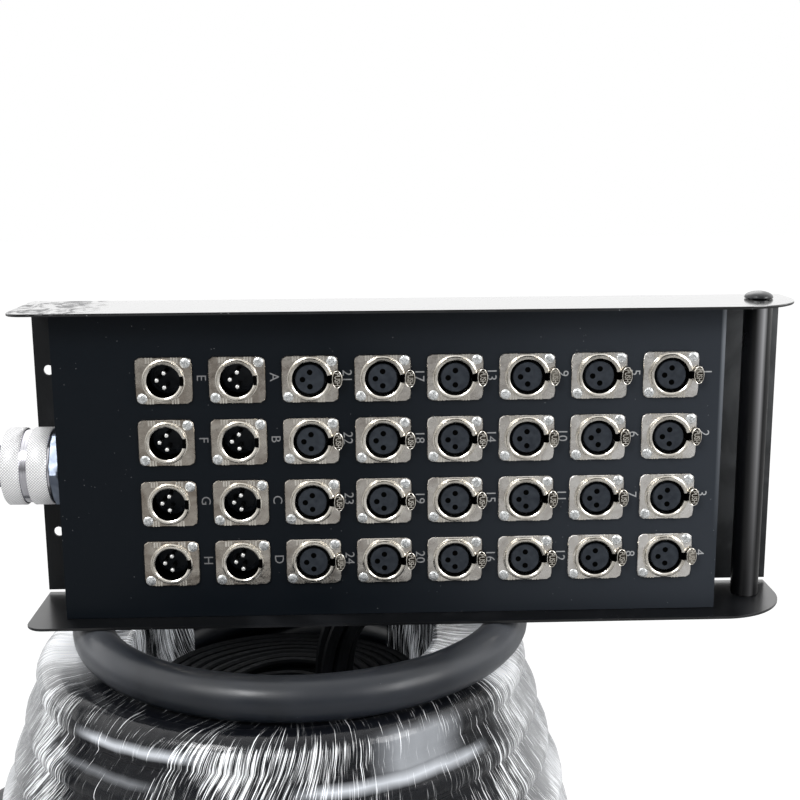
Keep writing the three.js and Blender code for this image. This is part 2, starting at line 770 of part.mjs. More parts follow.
// The wrap's section at a distance from the cable: across the floor, up the turns and over the top.
function wrapSection(distance) {
  const corners = [
    new THREE.Vector2(CORE_BORE_RADIUS, coreBottom),
    new THREE.Vector2(layers[0].radius + wrapFlatHalf, coreBottom),
    ...layers.map(({ radius, z }) => new THREE.Vector2(radius + sectionRadius, z)),
    new THREE.Vector2(layers[layers.length - 1].radius + wrapFlatHalf, wrappedTop),
    new THREE.Vector2(CORE_BORE_RADIUS, wrappedTop),
  ];
  return corners.map((corner, i) => {
    const before = corners[(i + corners.length - 1) % corners.length];
    const after = corners[(i + 1) % corners.length];
    const into = corner.clone().sub(before).normalize();
    const out = after.clone().sub(corner).normalize();
    const bisector = new THREE.Vector2(into.y + out.y, -into.x - out.x).normalize();
    const stretch = distance / (bisector.x * into.y - bisector.y * into.x);
    return corner.clone().addScaledVector(bisector, stretch);
  });
}

function filmWrap() {
  const positions = [];
  const indices = [];
  const ringOf = (section) =>
    Array.from({ length: LEVEL_STEPS + 1 }, (_, i) => {
      const angle = LEVEL_START - i * stepAngle;
      return section.map((p) => {
        positions.push(p.x * Math.cos(angle), p.x * Math.sin(angle), p.y);
        return positions.length / 3 - 1;
      });
    });
  const outer = ringOf(wrapSection(GAP + WRAP_WALL));
  const inner = ringOf(wrapSection(GAP));
  skin(outer, indices, true);
  skin(inner, indices, false);
  skin([inner[0], outer[0]], indices, true);
  skin([outer[LEVEL_STEPS], inner[LEVEL_STEPS]], indices, true);
  return faceted(positions, indices);
}

// The lead from the gland to the coil's first turn.
function trunkLead() {
  const start = new THREE.Vector3(
    BOX_RIGHT_OF_COIL + wallLeft - glandReach - GAP,
    glandBack - FACE_BEFORE_COIL,
    gridHeight,
  );
  const meet = winding[0].clone();
  const way = winding[0].clone().sub(winding[1]).normalize();
  const route = [
    start,
    ...LEAD_ROUTE.map((p) => new THREE.Vector3(...p)),
    meet.clone().addScaledVector(way, GAP + CABLE_RADIUS * 2),
    meet.clone().addScaledVector(way, GAP),
  ];
  const curve = new THREE.CatmullRomCurve3(route, false, "centripetal");
  const section = outline(polygon(CABLE_RADIUS, LEAD_SIDES, Math.PI / LEAD_SIDES));
  const geometry = new THREE.ExtrudeGeometry(section, {
    steps: LEAD_STEPS,
    bevelEnabled: false,
    extrudePath: curve,
  });
  return body(geometry);
}

// A tube along steps from the winding's end, starting a gap after the first of them.
function fromCableEnd(steps, radii) {
  const end = winding[winding.length - 1];
  const points = steps.map((step) => end.clone().add(new THREE.Vector3(...step)));
  points[0].addScaledVector(points[1].clone().sub(points[0]).normalize(), GAP);
  return levelTube(points, radii, BOOT_SIDES, Math.PI / BOOT_SIDES);
}

function fanoutBoot() {
  const spans = BOOT_ROUTE_STEPS.length - 1;
  const radii = BOOT_ROUTE_STEPS.map(
    (_, i) => BOOT_NECK_RADIUS + (BOOT_RADIUS - BOOT_NECK_RADIUS) * (i / spans) ** 2,
  );
  return fromCableEnd(BOOT_ROUTE_STEPS, radii);
}

function fanoutTails() {
  const bottom = PLUG_LENGTH + GAP;
  const ring = upright(
    outline(
      polygon(wrapBoreRadius - TAILS_CLEARANCE, TURN_STEPS),
      [polygon(TAILS_HOLE_RADIUS, TURN_STEPS)],
    ),
    bottom,
    TAILS_TOP,
  );
  const radii = TAILS_ROUTE_STEPS.map(() => TAILS_BUNDLE_RADIUS);
  const bundle = fromCableEnd(TAILS_ROUTE_STEPS, radii);
  return join(ring, bundle);
}

// One row of plugs, standing on their noses.
function plugRow(row) {
  const rowPitch = (PLUG_PITCH * Math.sqrt(3)) / 2;
  const stagger = (row % 2 ? PLUG_PITCH : -PLUG_PITCH) * ROW_STAGGER_SHARE;
  const lastRow = row === PLUG_ROWS - 1;
  const y = (row - (PLUG_ROWS - 1) / 2) * rowPitch + (lastRow ? PLUG_ROW_GAP : 0);
  const plugs = Array.from({ length: PLUGS_IN_ROW }, (_, i) => {
    const x = (i - (PLUGS_IN_ROW - 1) / 2) * PLUG_PITCH + stagger;
    const hex = polygon(PLUG_RADIUS, HEX_SIDES, Math.PI / HEX_SIDES);
    return upright(outline(moved(hex, x, y)), 0, PLUG_LENGTH);
  });
  return join(...plugs);
}

// Assembly
const snake = new THREE.Group();
const coilGroup = new THREE.Group();
const boxGroup = new THREE.Group();
boxGroup.position.set(BOX_RIGHT_OF_COIL, -FACE_BEFORE_COIL, gridHeight);
coilGroup.add(boxGroup);
snake.add(coilGroup);

const wrapBack = wrapOutside * Math.sin(LEVEL_START);
const boxRight = BOX_RIGHT_OF_COIL + plateRight;
const farLeft = Math.min(-wrapOutside, BOX_RIGHT_OF_COIL + wallLeft - glandReach);
coilGroup.position.set((-farLeft - boxRight) / 2, (wrapOutside - wrapBack) / 2, 0);

boxGroup.add(
  mesh("front_shell", steelBox(), blackPaint()),
  mesh("top_cheek", cheek(topInside, topInside + CHEEK_SHEET), blackPaint()),
  mesh("bottom_cheek", cheek(bottomInside - CHEEK_SHEET, bottomInside), blackPaint()),
  mesh("back_cover", backCover(), blackPaint()),
  mesh("handle_tube", handleTube(), blackPaint()),
  mesh("wiring_loom", wiringLoom(), blackRubber()),
  mesh("gland_body", glandBody(), aluminium()),
  mesh("gland_lock_nut", lockNut(), aluminium()),
  mesh("gland_cap_nut", capNut(), aluminium()),
  mesh("gland_seal", glandSeal(), blackRubber()),
);

const bolt = domeBolt();
const topBolt = mesh("handle_bolt_top", bolt, blackPaint());
topBolt.position.set(handleX, HANDLE_BACK, topInside + CHEEK_SHEET);
const bottomBolt = mesh("handle_bolt_bottom", bolt, blackPaint());
bottomBolt.position.set(handleX, HANDLE_BACK, bottomInside - CHEEK_SHEET);
bottomBolt.rotation.x = Math.PI;
boxGroup.add(topBolt, bottomBolt);

for (let column = 0; column < COLUMNS; column += 1) {
  const male = column < MALE_COLUMNS;
  const name = male ? `return_${column + 1}` : `send_${column - MALE_COLUMNS + 1}`;
  boxGroup.add(
    mesh(`${name}_shells`, columnShells(column), nickel()),
    mesh(`${name}_inserts`, columnInserts(column), darkPlastic()),
  );
}

// Latch tabs are numbered as the sockets are: down the columns, starting with the right-hand one.
const tab = latchTab();
sockets
  .filter((socket) => !socket.male)
  .forEach(({ column, row, x, z }) => {
    const number = (COLUMNS - 1 - column) * ROWS + row + 1;
    const made = mesh(`push_tab_${String(number).padStart(2, "0")}`, tab, nickel());
    made.position.set(x, 0, z);
    boxGroup.add(made);
  });

coilGroup.add(
  mesh("trunk_lead", trunkLead(), cableJacket()),
  mesh("coil_winding", coilWinding(), cableJacket()),
  mesh("coil_core", coilCore(), cableJacket()),
  mesh("film_wrap", filmWrap(), clearFilm()),
  mesh("fanout_boot", fanoutBoot(), blackRubber()),
  mesh("fanout_tails", fanoutTails(), blackRubber()),
  mesh(
    "tail_plugs_sends",
    join(...Array.from({ length: PLUG_ROWS - 1 }, (_, row) => plugRow(row))),
    nickel(),
  ),
  mesh("tail_plugs_returns", plugRow(PLUG_ROWS - 1), nickel()),
);

export default snake;
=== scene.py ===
"""Dresses the stage box snake: its camera, cable, film, box, sockets, gland, tube and studio."""

from math import asin, atan2, cos, dist, hypot, pi, radians, sin, sqrt

import bmesh
import bpy
from bpy.props import (
    BoolProperty,
    FloatProperty,
    FloatVectorProperty,
    IntProperty,
    PointerProperty,
)
from mathutils import Matrix, Vector, noise


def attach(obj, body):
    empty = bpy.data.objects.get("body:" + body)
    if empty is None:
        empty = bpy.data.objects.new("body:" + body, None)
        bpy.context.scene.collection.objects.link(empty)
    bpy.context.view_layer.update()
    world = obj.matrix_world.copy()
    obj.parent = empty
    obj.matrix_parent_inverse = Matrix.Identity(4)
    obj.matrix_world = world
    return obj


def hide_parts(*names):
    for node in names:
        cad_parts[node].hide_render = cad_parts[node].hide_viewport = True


bl_info = {
    "name": "Stage Box Snake",
    "version": (1, 0, 0),
    "blender": (4, 5, 0),
    "location": "3D View > Sidebar > Snake",
    "description": "Builds the finished pieces of a stage box with its coiled multicore cable",
    "category": "Object",
}

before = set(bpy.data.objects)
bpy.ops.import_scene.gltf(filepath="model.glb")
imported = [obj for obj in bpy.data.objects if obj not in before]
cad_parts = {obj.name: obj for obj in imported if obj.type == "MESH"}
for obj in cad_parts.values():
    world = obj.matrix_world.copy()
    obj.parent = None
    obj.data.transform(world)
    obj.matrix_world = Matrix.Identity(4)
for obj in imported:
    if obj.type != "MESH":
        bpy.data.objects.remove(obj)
MM = 0.001
BODY = "snake"
FULL_TURN = 2 * pi

# The photograph's camera, in the model's frame
CAMERA_PLACE = (-8.67, -675.4, 433.9)
CAMERA_TURN = (0.197, -0.031, -0.010)
CAMERA_LENS = 54.475
SENSOR = 36

# Box
GRID = Vector((21.828, -18.129, 262.7))
COLUMNS, ROWS = 8, 4
COLUMN_PITCH, ROW_PITCH = 40, 35
MALE_COLUMNS = 2
WALL_LEFT, WALL_RIGHT = -201, 170
TOP_INSIDE, BOTTOM_INSIDE = 90, -85
PLATE_LEFT, PLATE_RIGHT = -222, 214
PLATE_FRONT, PLATE_BACK = -14, 45.8
PLATE_SHEET = 1.5
LEFT_CORNER, RIGHT_CORNER = 10, 40
HANDLE_X, HANDLE_Y, HANDLE_RADIUS = 195, 23.5, 8
BOLT_RADIUS, BOLT_GAP = 8, 0.3

# Sockets
FLANGE_HALF_WIDTH, FLANGE_HALF_HEIGHT, FLANGE_ROUND = 15.5, 13, 3.2
FLANGE_FRONT, FLANGE_BACK = -1.5, -0.3
RING_FRONT, RING_RADIUS, BORE_RADIUS, BARREL_END = -3.5, 11.7, 10, 20
SCREW_X, SCREW_Z, SCREW_RADIUS = 12, 9.8, 2.8
PIN_PLACES = ((0, 4), (-4, 0), (0, -4))
MALE_INSERT = (
    ((9.6, 22), (9.6, 12.2), (9.2, 12), (7.6, 12), (7.4, 12.5), (0.4, 12.5)), 32,
    "pin_metal", ((1.2, 13), (1.2, -0.2), (1, -0.8), (0.55, -1.1)), 14,
)
# Female pin holes are dark discs of painted shade.
FEMALE_INSERT = (
    ((9.6, 22), (9.6, 12), (8, 12), (8, -2.2), (7.6, -2.7), (0.4, -2.7)), 36,
    "hollow_black", ((1.6, -2.66), (1.55, -2.74)), 16,
)
TAB_MIDDLE, TAB_HALF_WIDTH, TAB_HALF_HEIGHT = 15, 2.9, 5
TAB_FRONT, TAB_BACK = -4.2, -3
LABEL_RIGHT, LABEL_UP, LABEL_HEIGHT, CAPITAL_SHARE = 20.2, 1.2, 5.2, 0.7

# Gland, along X from the left wall
GLAND_Y = 21.5
HEX_RADIUS, HEX_LENGTH = 23, 4.8
NUT_RADIUS = 22.2
NUT_START, NUT_END = 5.4, 32.4
KNURLS = 84

# Coil, about its axis
COIL = Vector((-59.172, 25.871, 0))
CABLE_RADIUS = 12
LAYER_RADII = (156, 162, 157.5, 149, 141.5, 134)
LAYER_PITCH, FIRST_LAYER = 25.2, 12.8
TOP_TURN_RADIUS, TOP_TURN_Z = 124.5, 163.9
LEVEL_START = 45
LEVEL_DEGREES, CLIMB_DEGREES = 270, 75
END_DEGREES, END_INWARD = 60, 7.2
TOP_TURN_RIGHT, SHIFT_DEGREES, BACK_DEGREES = 12, 60, 45
INNER_RADIUS, INNER_TURNS = 103.4, 6
STEP_DEGREES = 3
LEAD_ROUTE = (
    (-167, -22.5, 262.7), (-192, -25.5, 261), (-222, -35, 254.5), (-247, -47.5, 244),
    (-266, -62, 230), (-280, -77, 211), (-288, -90, 188), (-291, -100, 161),
    (-290, -105, 130), (-284.5, -102.5, 97), (-275, -93, 68.5), (-263, -76.5, 45.5),
    (-248.5, -55, 27.5), (-232, -29, 16.8), (-215, 0, 12.8), (-200, 26, 12.8),
    (-186.5, 49.5, 12.8), (-174, 72, 12.8), (-161.5, 95, 12.8), (-146, 118, 12.8),
    (-125, 141, 12.8), (-95, 162.5, 12.8), (-48, 178, 12.8), (0, 182.3, 12.8),
    (46.3, 172.9, 12.8),
)

# Boot, tails and plugs in the coil's hollow; the steps start at the cable's end
BOOT_STEPS = ((0, 0, 0), (11, -4.65, 0), (16, -16, 0), (13, -31, -0.5), (7, -45, -3), (-1, -57, -8))
TAILS_STEPS = ((-1, -57, -8), (-7, -66, -11.75), (-12, -73, -20), (-15, -77, -33), (-16, -78.5, -50))
PLUG_PITCH, PLUG_LENGTH, PLUG_RADIUS = 18.9, 62, 9.4
PLUG_ROWS, PLUGS_IN_ROW = 4, 8
TAIL_RADIUS, TAIL_TURNS = 2.9, 7
HANK_LAYERS, HANK_LANES, HANK_STEPS = 8, 9, 48
HANK_INNER, HANK_OUTER, HANK_FLOOR, HANK_TOP = 31, 81, 65.5, 114.3
LANE_PITCH, HANK_PITCH = 6.5, 6.1
STRANDS, STRAND_RADIUS, BUNDLE_RADIUS = 6, 3.9, 8
DROP_SHARES, DROP_HEIGHT = (0.85, 0.7, 0.55, 0.42, 0.32), 121
DROP_END, DROP_HEIGHTS = 0.24, (114, 104, 92, 80, 68)

# Film, as radii and heights about the coil's axis
FILM_RADIUS, FILM_CLEAR, FILM_CREST = 165, 0.9, 24
FILM_SIDES, FILM_EDGE = 200, 1 / 16
FILM_FOOT = ((92.4, 0.6), (120, 0.4), (LAYER_RADII[0], 0.4))
FILM_TOP = ((LAYER_RADII[-1] - 14, 151.4), (112, 151.3), (95, 151.2), (91.4, 150))
FILM_WALL, FILM_WALL_HEIGHTS = 90.7, (140, 115, 85, 55, 25, 8)

# Studio, in metres and watts
FLOOR_HALF, FLOOR_LEVEL = 6, -0.0006
LAMPS = (
    ("key", (-1.1, -1.5, 1.9), 0.8, 26),
    ("fill", (1.6, -1.2, 1.1), 0.9, 15),
    ("rim", (0.2, 1.6, 1.6), 1.4, 12),
)


# Shader maths


def put(tree, entry, value):
    """Links a wire or an output to a node's entry, or sets a plain value there."""
    source = value.source if isinstance(value, Wire) else value
    if isinstance(source, bpy.types.NodeSocket):
        tree.links.new(source, entry)
    else:
        entry.default_value = source


def node(tree, kind, entries=(), output=0, **settings):
    """An output of a new node. entries are pairs of a name or number of an entry and its value."""
    made = tree.nodes.new(kind)
    for key, value in settings.items():
        setattr(made, key, value)
    for key, value in entries:
        put(tree, made.inputs[key], value)
    return Wire(tree, made.outputs[output])


def operation(name, clamp=False, reflected=False):
    """A method that works on its own wire and the others with a math node."""

    def method(self, *others):
        values = (*others, self) if reflected else (self, *others)
        return node(self.tree, "ShaderNodeMath", enumerate(values), operation=name, use_clamp=clamp)

    return method


class Wire:
    """A node's output that adds and multiplies with others."""

    def __init__(self, tree, source):
        self.tree = tree
        self.source = source

    __add__ = operation("ADD")
    __radd__ = operation("ADD", reflected=True)
    __sub__ = operation("SUBTRACT")
    __rsub__ = operation("SUBTRACT", reflected=True)
    __mul__ = operation("MULTIPLY")
    __rmul__ = operation("MULTIPLY", reflected=True)
    clamped_sum = operation("ADD", clamp=True)
    sine = operation("SINE")
    root = operation("SQRT")
    least = operation("MINIMUM")
    angle_to = operation("ARCTAN2")
    above = operation("GREATER_THAN")
    below = operation("LESS_THAN")

    def length_with(self, other):
        return (self * self + other * other).root()

    def clamped(self):
        return self.clamped_sum(0)

    def ramp(self, low, high, to_low=0, to_high=1):
        return node(self.tree, "ShaderNodeMapRange", enumerate((self, low, high, to_low, to_high)))

    def spread(self, to_low, to_high):
        """The middle of a noise's range, spread between two values."""
        return self.ramp(0.3, 0.7, to_low, to_high)

    def mix(self, first, second):
        """first where this is 0, second where it is 1; each a wire or a colour of three numbers."""
        colors = ((*c, 1) if isinstance(c, tuple) else c for c in (first, second))
        entries = zip((0, 6, 7), (self, *colors))
        return node(self.tree, "ShaderNodeMix", entries, 2, data_type="RGBA")


class Paint:
    """One procedural material being made, with textures in the model's own metres."""

    def __init__(self, name, color, roughness, metallic=0, coat=0, gloss=0.5):
        self.material = bpy.data.materials.new(name)
        self.material.use_nodes = True
        self.tree = self.material.node_tree
        self.shader = self.tree.nodes["Principled BSDF"]
        self.set("Base Color", (*color, 1))
        self.set("Roughness", roughness)
        self.set("Metallic", metallic)
        self.set("Coat Weight", coat)
        self.set("Coat Roughness", 0.08)
        self.set("Specular IOR Level", gloss)
        self.place = self.tree.nodes.new("ShaderNodeTexCoord").outputs["Object"]

    def set(self, key, value):
        put(self.tree, self.shader.inputs[key], value)
        return self

    def node(self, kind, output=0, **entries):
        return node(self.tree, kind, entries.items(), output)

    def axis(self, i):
        return self.node("ShaderNodeSeparateXYZ", i, Vector=self.place)

    def joined(self, x, y, z):
        """A place made of three wires or numbers."""
        return self.node("ShaderNodeCombineXYZ", X=x, Y=y, Z=z)

    def noise(self, scale, detail=3, distortion=0, stretch=None, place=None):
        place = place or self.place
        if stretch:
            place = self.node("ShaderNodeMapping", Vector=place, Scale=stretch)
        entries = {"Vector": place, "Scale": scale, "Detail": detail, "Distortion": distortion}
        return self.node("ShaderNodeTexNoise", "Fac", **entries)

    def cells(self, scale):
        return self.node("ShaderNodeTexVoronoi", "Distance", Vector=self.place, Scale=scale)

    def bump(self, height, strength, distance=0.0002):
        entries = {"Strength": strength, "Distance": distance, "Height": height}
        return self.set("Normal", self.node("ShaderNodeBump", **entries))

    def rough(self, scale, detail, low, high):
        """A roughness that varies with a noise."""
        return self.set("Roughness", self.noise(scale, detail).spread(low, high))

    def color(self, share, first, second):
        """A base colour between two, by a share."""
        return self.set("Base Color", share.mix(first, second))

    def glow(self, share, color):
        """Painted light of its own, where share is above 0."""
        return self.set("Emission Color", share.mix((0, 0, 0), color)).set("Emission Strength", 1)


MAKERS = {}
MATERIALS = {}


def setting(name):
    """A value that the add-on's panel shows; a colour comes as a tuple."""
    value = getattr(bpy.context.scene.snake, name)
    return value if isinstance(value, (bool, int, float)) else tuple(value)


def maker(make):
    MAKERS[make.__name__] = make
    return make


def material(name):
    if name not in MATERIALS:
        MATERIALS[name] = MAKERS[name]().material
    return MATERIALS[name]


@maker
def black_paint():
    """Satin coat with a painted sheen that makes it bluer and lighter towards the right, and a painted
    highlight along the fold at the panel's right edge.
    """
    paint = Paint("black_powder_coat", (0.004, 0.004, 0.005), 0.4, gloss=0.12)
    specks = paint.cells(320).below(0.07) * paint.noise(60, 2).above(0.58)
    # Painted sheen: the coat grows bluer and lighter towards the right.
    sheen = (paint.axis(0) + paint.noise(5, 2) * 0.12).ramp(0.03, 0.25)
    base = sheen.mix((0.0042, 0.0064, 0.0094), setting("panel_color"))
    # Painted highlight along the fold at the panel's right edge, strongest at the top.
    right_edge = (GRID.x + WALL_RIGHT) * MM
    fold = paint.axis(0).ramp(right_edge - 0.0026, right_edge - 0.001) * paint.axis(2).ramp(0.22, 0.36)
    base = (fold * 0.6).mix(base, (0.3, 0.32, 0.35))
    paint.color((specks * 0.35), base, (0.42, 0.43, 0.45))
    paint.rough(45, 4, 0.34, 0.5)
    return paint.bump(paint.noise(1500, 2), 0.15, 0.0001)


@maker
def cover_paint():
    """Duller than the panel, with a painted sheen that grows towards the right and a painted highlight
    at the top of the right ear.
    """
    paint = Paint("cover_coat", (0.006, 0.007, 0.009), 0.5, gloss=0.3)
    smudge = paint.noise(30, 5, 1.5)
    # Smudges, lightened towards the right by a painted sheen.
    tone = smudge.ramp(0.5, 0.75) * paint.axis(0).ramp(-0.2, 0.2, 0.2, 1)
    # Painted highlight along the top of the right ear, on its front.
    ear = paint.axis(0).ramp(0.19, 0.193) * paint.axis(2).ramp(0.19, 0.35, 0.15)
    ear = ear * smudge.ramp(0.3, 0.6, 0.5)
    ear = ear * paint.axis(1).below((GRID.y + PLATE_BACK - 0.75) * MM)
    base = tone.mix((0.0042, 0.0052, 0.0065), (0.026, 0.029, 0.033))
    paint.color(ear, base, (0.12, 0.125, 0.13))
    return paint.set("Roughness", smudge.spread(0.42, 0.6))


@maker
def plate_paint():
    """The plates' coat, glossiest on top, scuffed at the top plate's left corner."""
    paint = Paint("black_plate_coat", (0.008, 0.008, 0.009), 0.22, coat=1)
    smudge = paint.noise(22, 5, 1.5)
    dust = paint.cells(300).below(0.07) * paint.noise(40, 2).above(0.58)
    left = (paint.axis(0) + paint.noise(30, 3) * 0.03).ramp(-0.13, -0.15)
    base = smudge.ramp(0.5, 0.75).mix((0.005, 0.0055, 0.0065), (0.02, 0.021, 0.024))
    scuffed = left * paint.noise(70, 5, 2).ramp(0.45, 0.6)
    on_top = paint.axis(2).above((GRID.z + TOP_INSIDE + PLATE_SHEET / 2) * MM)
    scuffed = scuffed * on_top
    paint.color((dust * 0.5 + scuffed * 0.13).clamped(), base, (0.5, 0.5, 0.52))
    paint.set("Coat Weight", 0.1 + on_top * (0.9 - 0.85 * scuffed))
    return paint.set("Roughness", 0.3 + 0.5 * scuffed - 0.14 * on_top)


@maker
def tube_black():
    """Satin black with a painted highlight, given as a glow, in a stripe down its front, brightest at
    the top.
    """
    paint = Paint("tube_coat", (0.003, 0.003, 0.004), 0.3, gloss=0.35)
    # The stripe is a painted highlight, given as a glow, a little right of the tube's front.
    across = paint.axis(0) - (GRID.x + HANDLE_X) * MM
    facing = across.angle_to((GRID.y + HANDLE_Y) * MM - paint.axis(1))
    lit = facing.ramp(-0.5, 0.14)
    stripe = lit * lit * facing.ramp(0.45, 0.18) * paint.axis(2).ramp(0.2, 0.335, 0.15)
    stripe = stripe * paint.axis(2).above((GRID.z + BOTTOM_INSIDE) * MM)
    paint.glow(stripe, (0.3, 0.3, 0.31))
    wear = paint.noise(130, 4, 1, stretch=(1, 1, 0.35))
    paint.color(wear.ramp(0.68, 0.76), (0.003, 0.0032, 0.004), (0.05, 0.05, 0.055))
    return paint.set("Roughness", wear.spread(0.27, 0.38))


@maker
def nickel():
    """Warm nickel with a soft waviness, stained in patches, and a painted light that makes it brighter
    towards the right.
    """
    paint = Paint("nickel", (0.55, 0.53, 0.49), 0.24, metallic=1)
    stain = paint.noise(95, 5, 0.6)
    # Painted light: brighter towards the right.
    light = paint.axis(0).ramp(-0.1, 0.18)
    bright = light.mix((0.56, 0.52, 0.46), (0.99, 0.97, 0.94))
    dull = light.mix((0.3, 0.26, 0.22), (0.78, 0.75, 0.71))
    paint.color(stain.ramp(0.36, 0.66), bright, dull)
    paint.rough(240, 3, 0.16, 0.34)
    return paint.bump(paint.noise(110, 4), 0.45, 0.0011)


@maker
def pin_metal():
    """Bright at the tips, with painted shade that darkens the pins further in."""
    paint = Paint("pin_metal", (0.9, 0.9, 0.88), 0.3, metallic=0.6)
    # Painted shade: darker further into the insert.
    inward = paint.axis(1).ramp((GRID.y - 0.7) * MM, (GRID.y + 0.6) * MM)
    paint.color(inward, (0.97, 0.97, 0.95), (0.03, 0.03, 0.03))
    return paint.rough(600, 2, 0.2, 0.34)


@maker
def aluminium():
    paint = Paint("bright_aluminium", (0.78, 0.79, 0.81), 0.24, metallic=1)
    turned = paint.noise(120, 3, stretch=(12, 1, 1))
    paint.color(turned.ramp(0.3, 0.7), (0.8, 0.8, 0.84), (0.58, 0.57, 0.62))
    paint.set("Roughness", turned.spread(0.12, 0.24))
    return paint.bump(turned, 0.1, 0.0001)


@maker
def knurled_aluminium():
    """Two crossing sets of fine ridges round the gland's axis, with painted shade in the grooves and a
    painted glow on the ridges.
    """
    paint = Paint("knurled_aluminium", (0.9, 0.9, 0.91), 0.36, metallic=0.3)
    across = paint.axis(1) - (GRID.y + GLAND_Y) * MM
    up = paint.axis(2) - GRID.z * MM
    knurls = setting("knurls")
    round_turns = up.angle_to(across) * knurls
    along = paint.axis(0) * (knurls / (NUT_RADIUS * MM))
    ridges = (round_turns + along).sine().least((round_turns - along).sine())
    cut = ridges.ramp(-0.9, -0.2)
    # The ridges also bear painted shade in the grooves and painted light, a glow, on their tops.
    paint.color(cut, (0.56, 0.56, 0.58), (1, 1, 1))
    paint.glow(cut, (0.1, 0.1, 0.1))
    paint.rough(90, 3, 0.3, 0.42)
    return paint.bump(cut, 0.6, 0.0002)


@maker
def cable_jacket():
    paint = Paint("cable_jacket", (0.006, 0.007, 0.009), 0.45, gloss=0.55)
    dust = paint.cells(420).below(0.06) * paint.noise(50, 2).above(0.62)
    base = paint.noise(26, 4, 0.5).ramp(0.35, 0.7).mix((0.007, 0.0095, 0.014), setting("jacket_color"))
    # Painted highlight on the top turn's left and right sides.
    sideways = paint.axis(0) - (COIL.x + TOP_TURN_RIGHT) * MM
    squared = sideways * sideways
    ends = squared.ramp(0.0064, 0.0169) * squared.ramp(0.0225, 0.02) * paint.axis(2).ramp(0.148, 0.156)
    base = ends.mix(base, (0.11, 0.117, 0.13))
    paint.color((dust * 0.5), base, (0.4, 0.41, 0.43))
    paint.rough(60, 4, 0.3, 0.44)
    return paint.bump(paint.noise(700, 3), 0.12, 0.0002)


@maker
def label_ink():
    """Print with painted shade that makes it fainter towards the left."""
    paint = Paint("label_ink", (0.4, 0.41, 0.42), 0.6, gloss=0.2)
    # Painted shade: the print fades towards the left.
    light = paint.axis(0).ramp(-0.12, 0.2)
    return paint.color(light, (0.16, 0.16, 0.165), setting("label_color"))


@maker
def film():
    """Taut clear film over black, with fine white creases that run up it and inwards on top, a painted
    glow in the creases and haze, and painted glare bands on the crests.
    """
    paint = Paint("clear_film", (0.9, 0.92, 0.95), 0.1, coat=0.25, gloss=0.35)
    x = paint.axis(0) - COIL.x * MM
    y = paint.axis(1) - COIL.y * MM
    turn = x.angle_to(0 - y)
    round_it = turn * (FILM_RADIUS * MM)
    up_it = paint.axis(2) - x.length_with(y) + 0.08
    side = x * (1 / (FILM_RADIUS * MM))
    lean = side * 0.5 + paint.noise(7, 2).spread(-0.32, 0.12)
    slanted = round_it + up_it * lean

    def creases(width, height, shift, low, high):
        place = paint.joined(slanted * (1000 / width), up_it * (1000 / height), shift)
        return (paint.noise(1, 2, place=place) + dense * 0.13).ramp(low, high).clamped()

    def window(left, right, low, high, soft):
        """1 between two turns, in degrees, and two heights, in millimetres, with soft sides."""
        ease = radians(7)
        a, b = radians(left), radians(right)
        across = turn.ramp(a, a + ease) * turn.ramp(b, b - ease)
        foot, head = height.ramp(low * MM, (low + soft) * MM), height.ramp(high * MM, (high - soft) * MM)
        return across * foot * head

    height = paint.axis(2) + paint.noise(45, 2).spread(-0.0006, 0.0006)
    sides = (side * side).ramp(0.36, 0.55)
    spots = paint.noise(1, 3, place=paint.joined(round_it * 19, up_it * 11, 4))
    patches = spots.ramp(0.44, 0.6).clamped()
    outer = x.length_with(y).ramp(0.1, 0.12)
    dense = sides + (1 - outer) + window(-26, 24, -50, 148, 4)
    dense = dense * (patches * 0.6 + 0.4) + patches * 0.2
    squared = turn * turn
    haze = squared.ramp(0.85, 1.5) * squared.ramp(4.2, 2.6) * patches.ramp(0, 1, 0.45, 0.75) * outer
    white = creases(1.3, 55, 0, 0.68, 0.72) + creases(0.8, 35, 5, 0.685, 0.725) * 0.85
    white = (white + creases(0.6, 30, 9, 0.66, 0.7) * 0.3 + haze).clamped()
    # Painted highlights: glare bands along the crests of the turns.
    glare = window(-46, -12, 136, 144, 3.5) * 0.9 + window(4, 50, 120, 128, 4)
    glare = glare + window(20, 44, 124, 149, 5) * 0.55 + window(-56, -20, 121, 127, 3) * 0.3
    glare = glare.clamped() * (1 - 0.25 * patches)
    paint.color(white, (0.006, 0.007, 0.010), setting("crease_color"))
    # The creases and haze glow with painted light, and the glare adds to it.
    paint.glow((white * 0.3 + glare * 0.9).clamped(), (0.86, 0.9, 0.96))
    paint.set("Alpha", (white + glare).clamped().ramp(0, 1, 0.74, 0.97))
    paint.rough(30, 3, 0.07, 0.18)
    return paint.bump(creases(4, 60, 2, 0.35, 0.7), 0.25, 0.0006)


def plain(name, color, roughness, rough, tone=None, colors=None, bump=None, **constants):
    """A maker of a material that varies with noises only. tone is a noise's scale, detail and twist,
    and the range that is spread between the colours; rough and bump start with scale and detail."""

    def make():
        paint = Paint(name, color, roughness, **constants)
        if tone:
            *grain, low, high = tone
            paint.color(paint.noise(*grain).ramp(low, high), *colors)
        if bump:
            paint.bump(paint.noise(*bump[:2]), *bump[2:])
        return paint.rough(*rough)

    return make


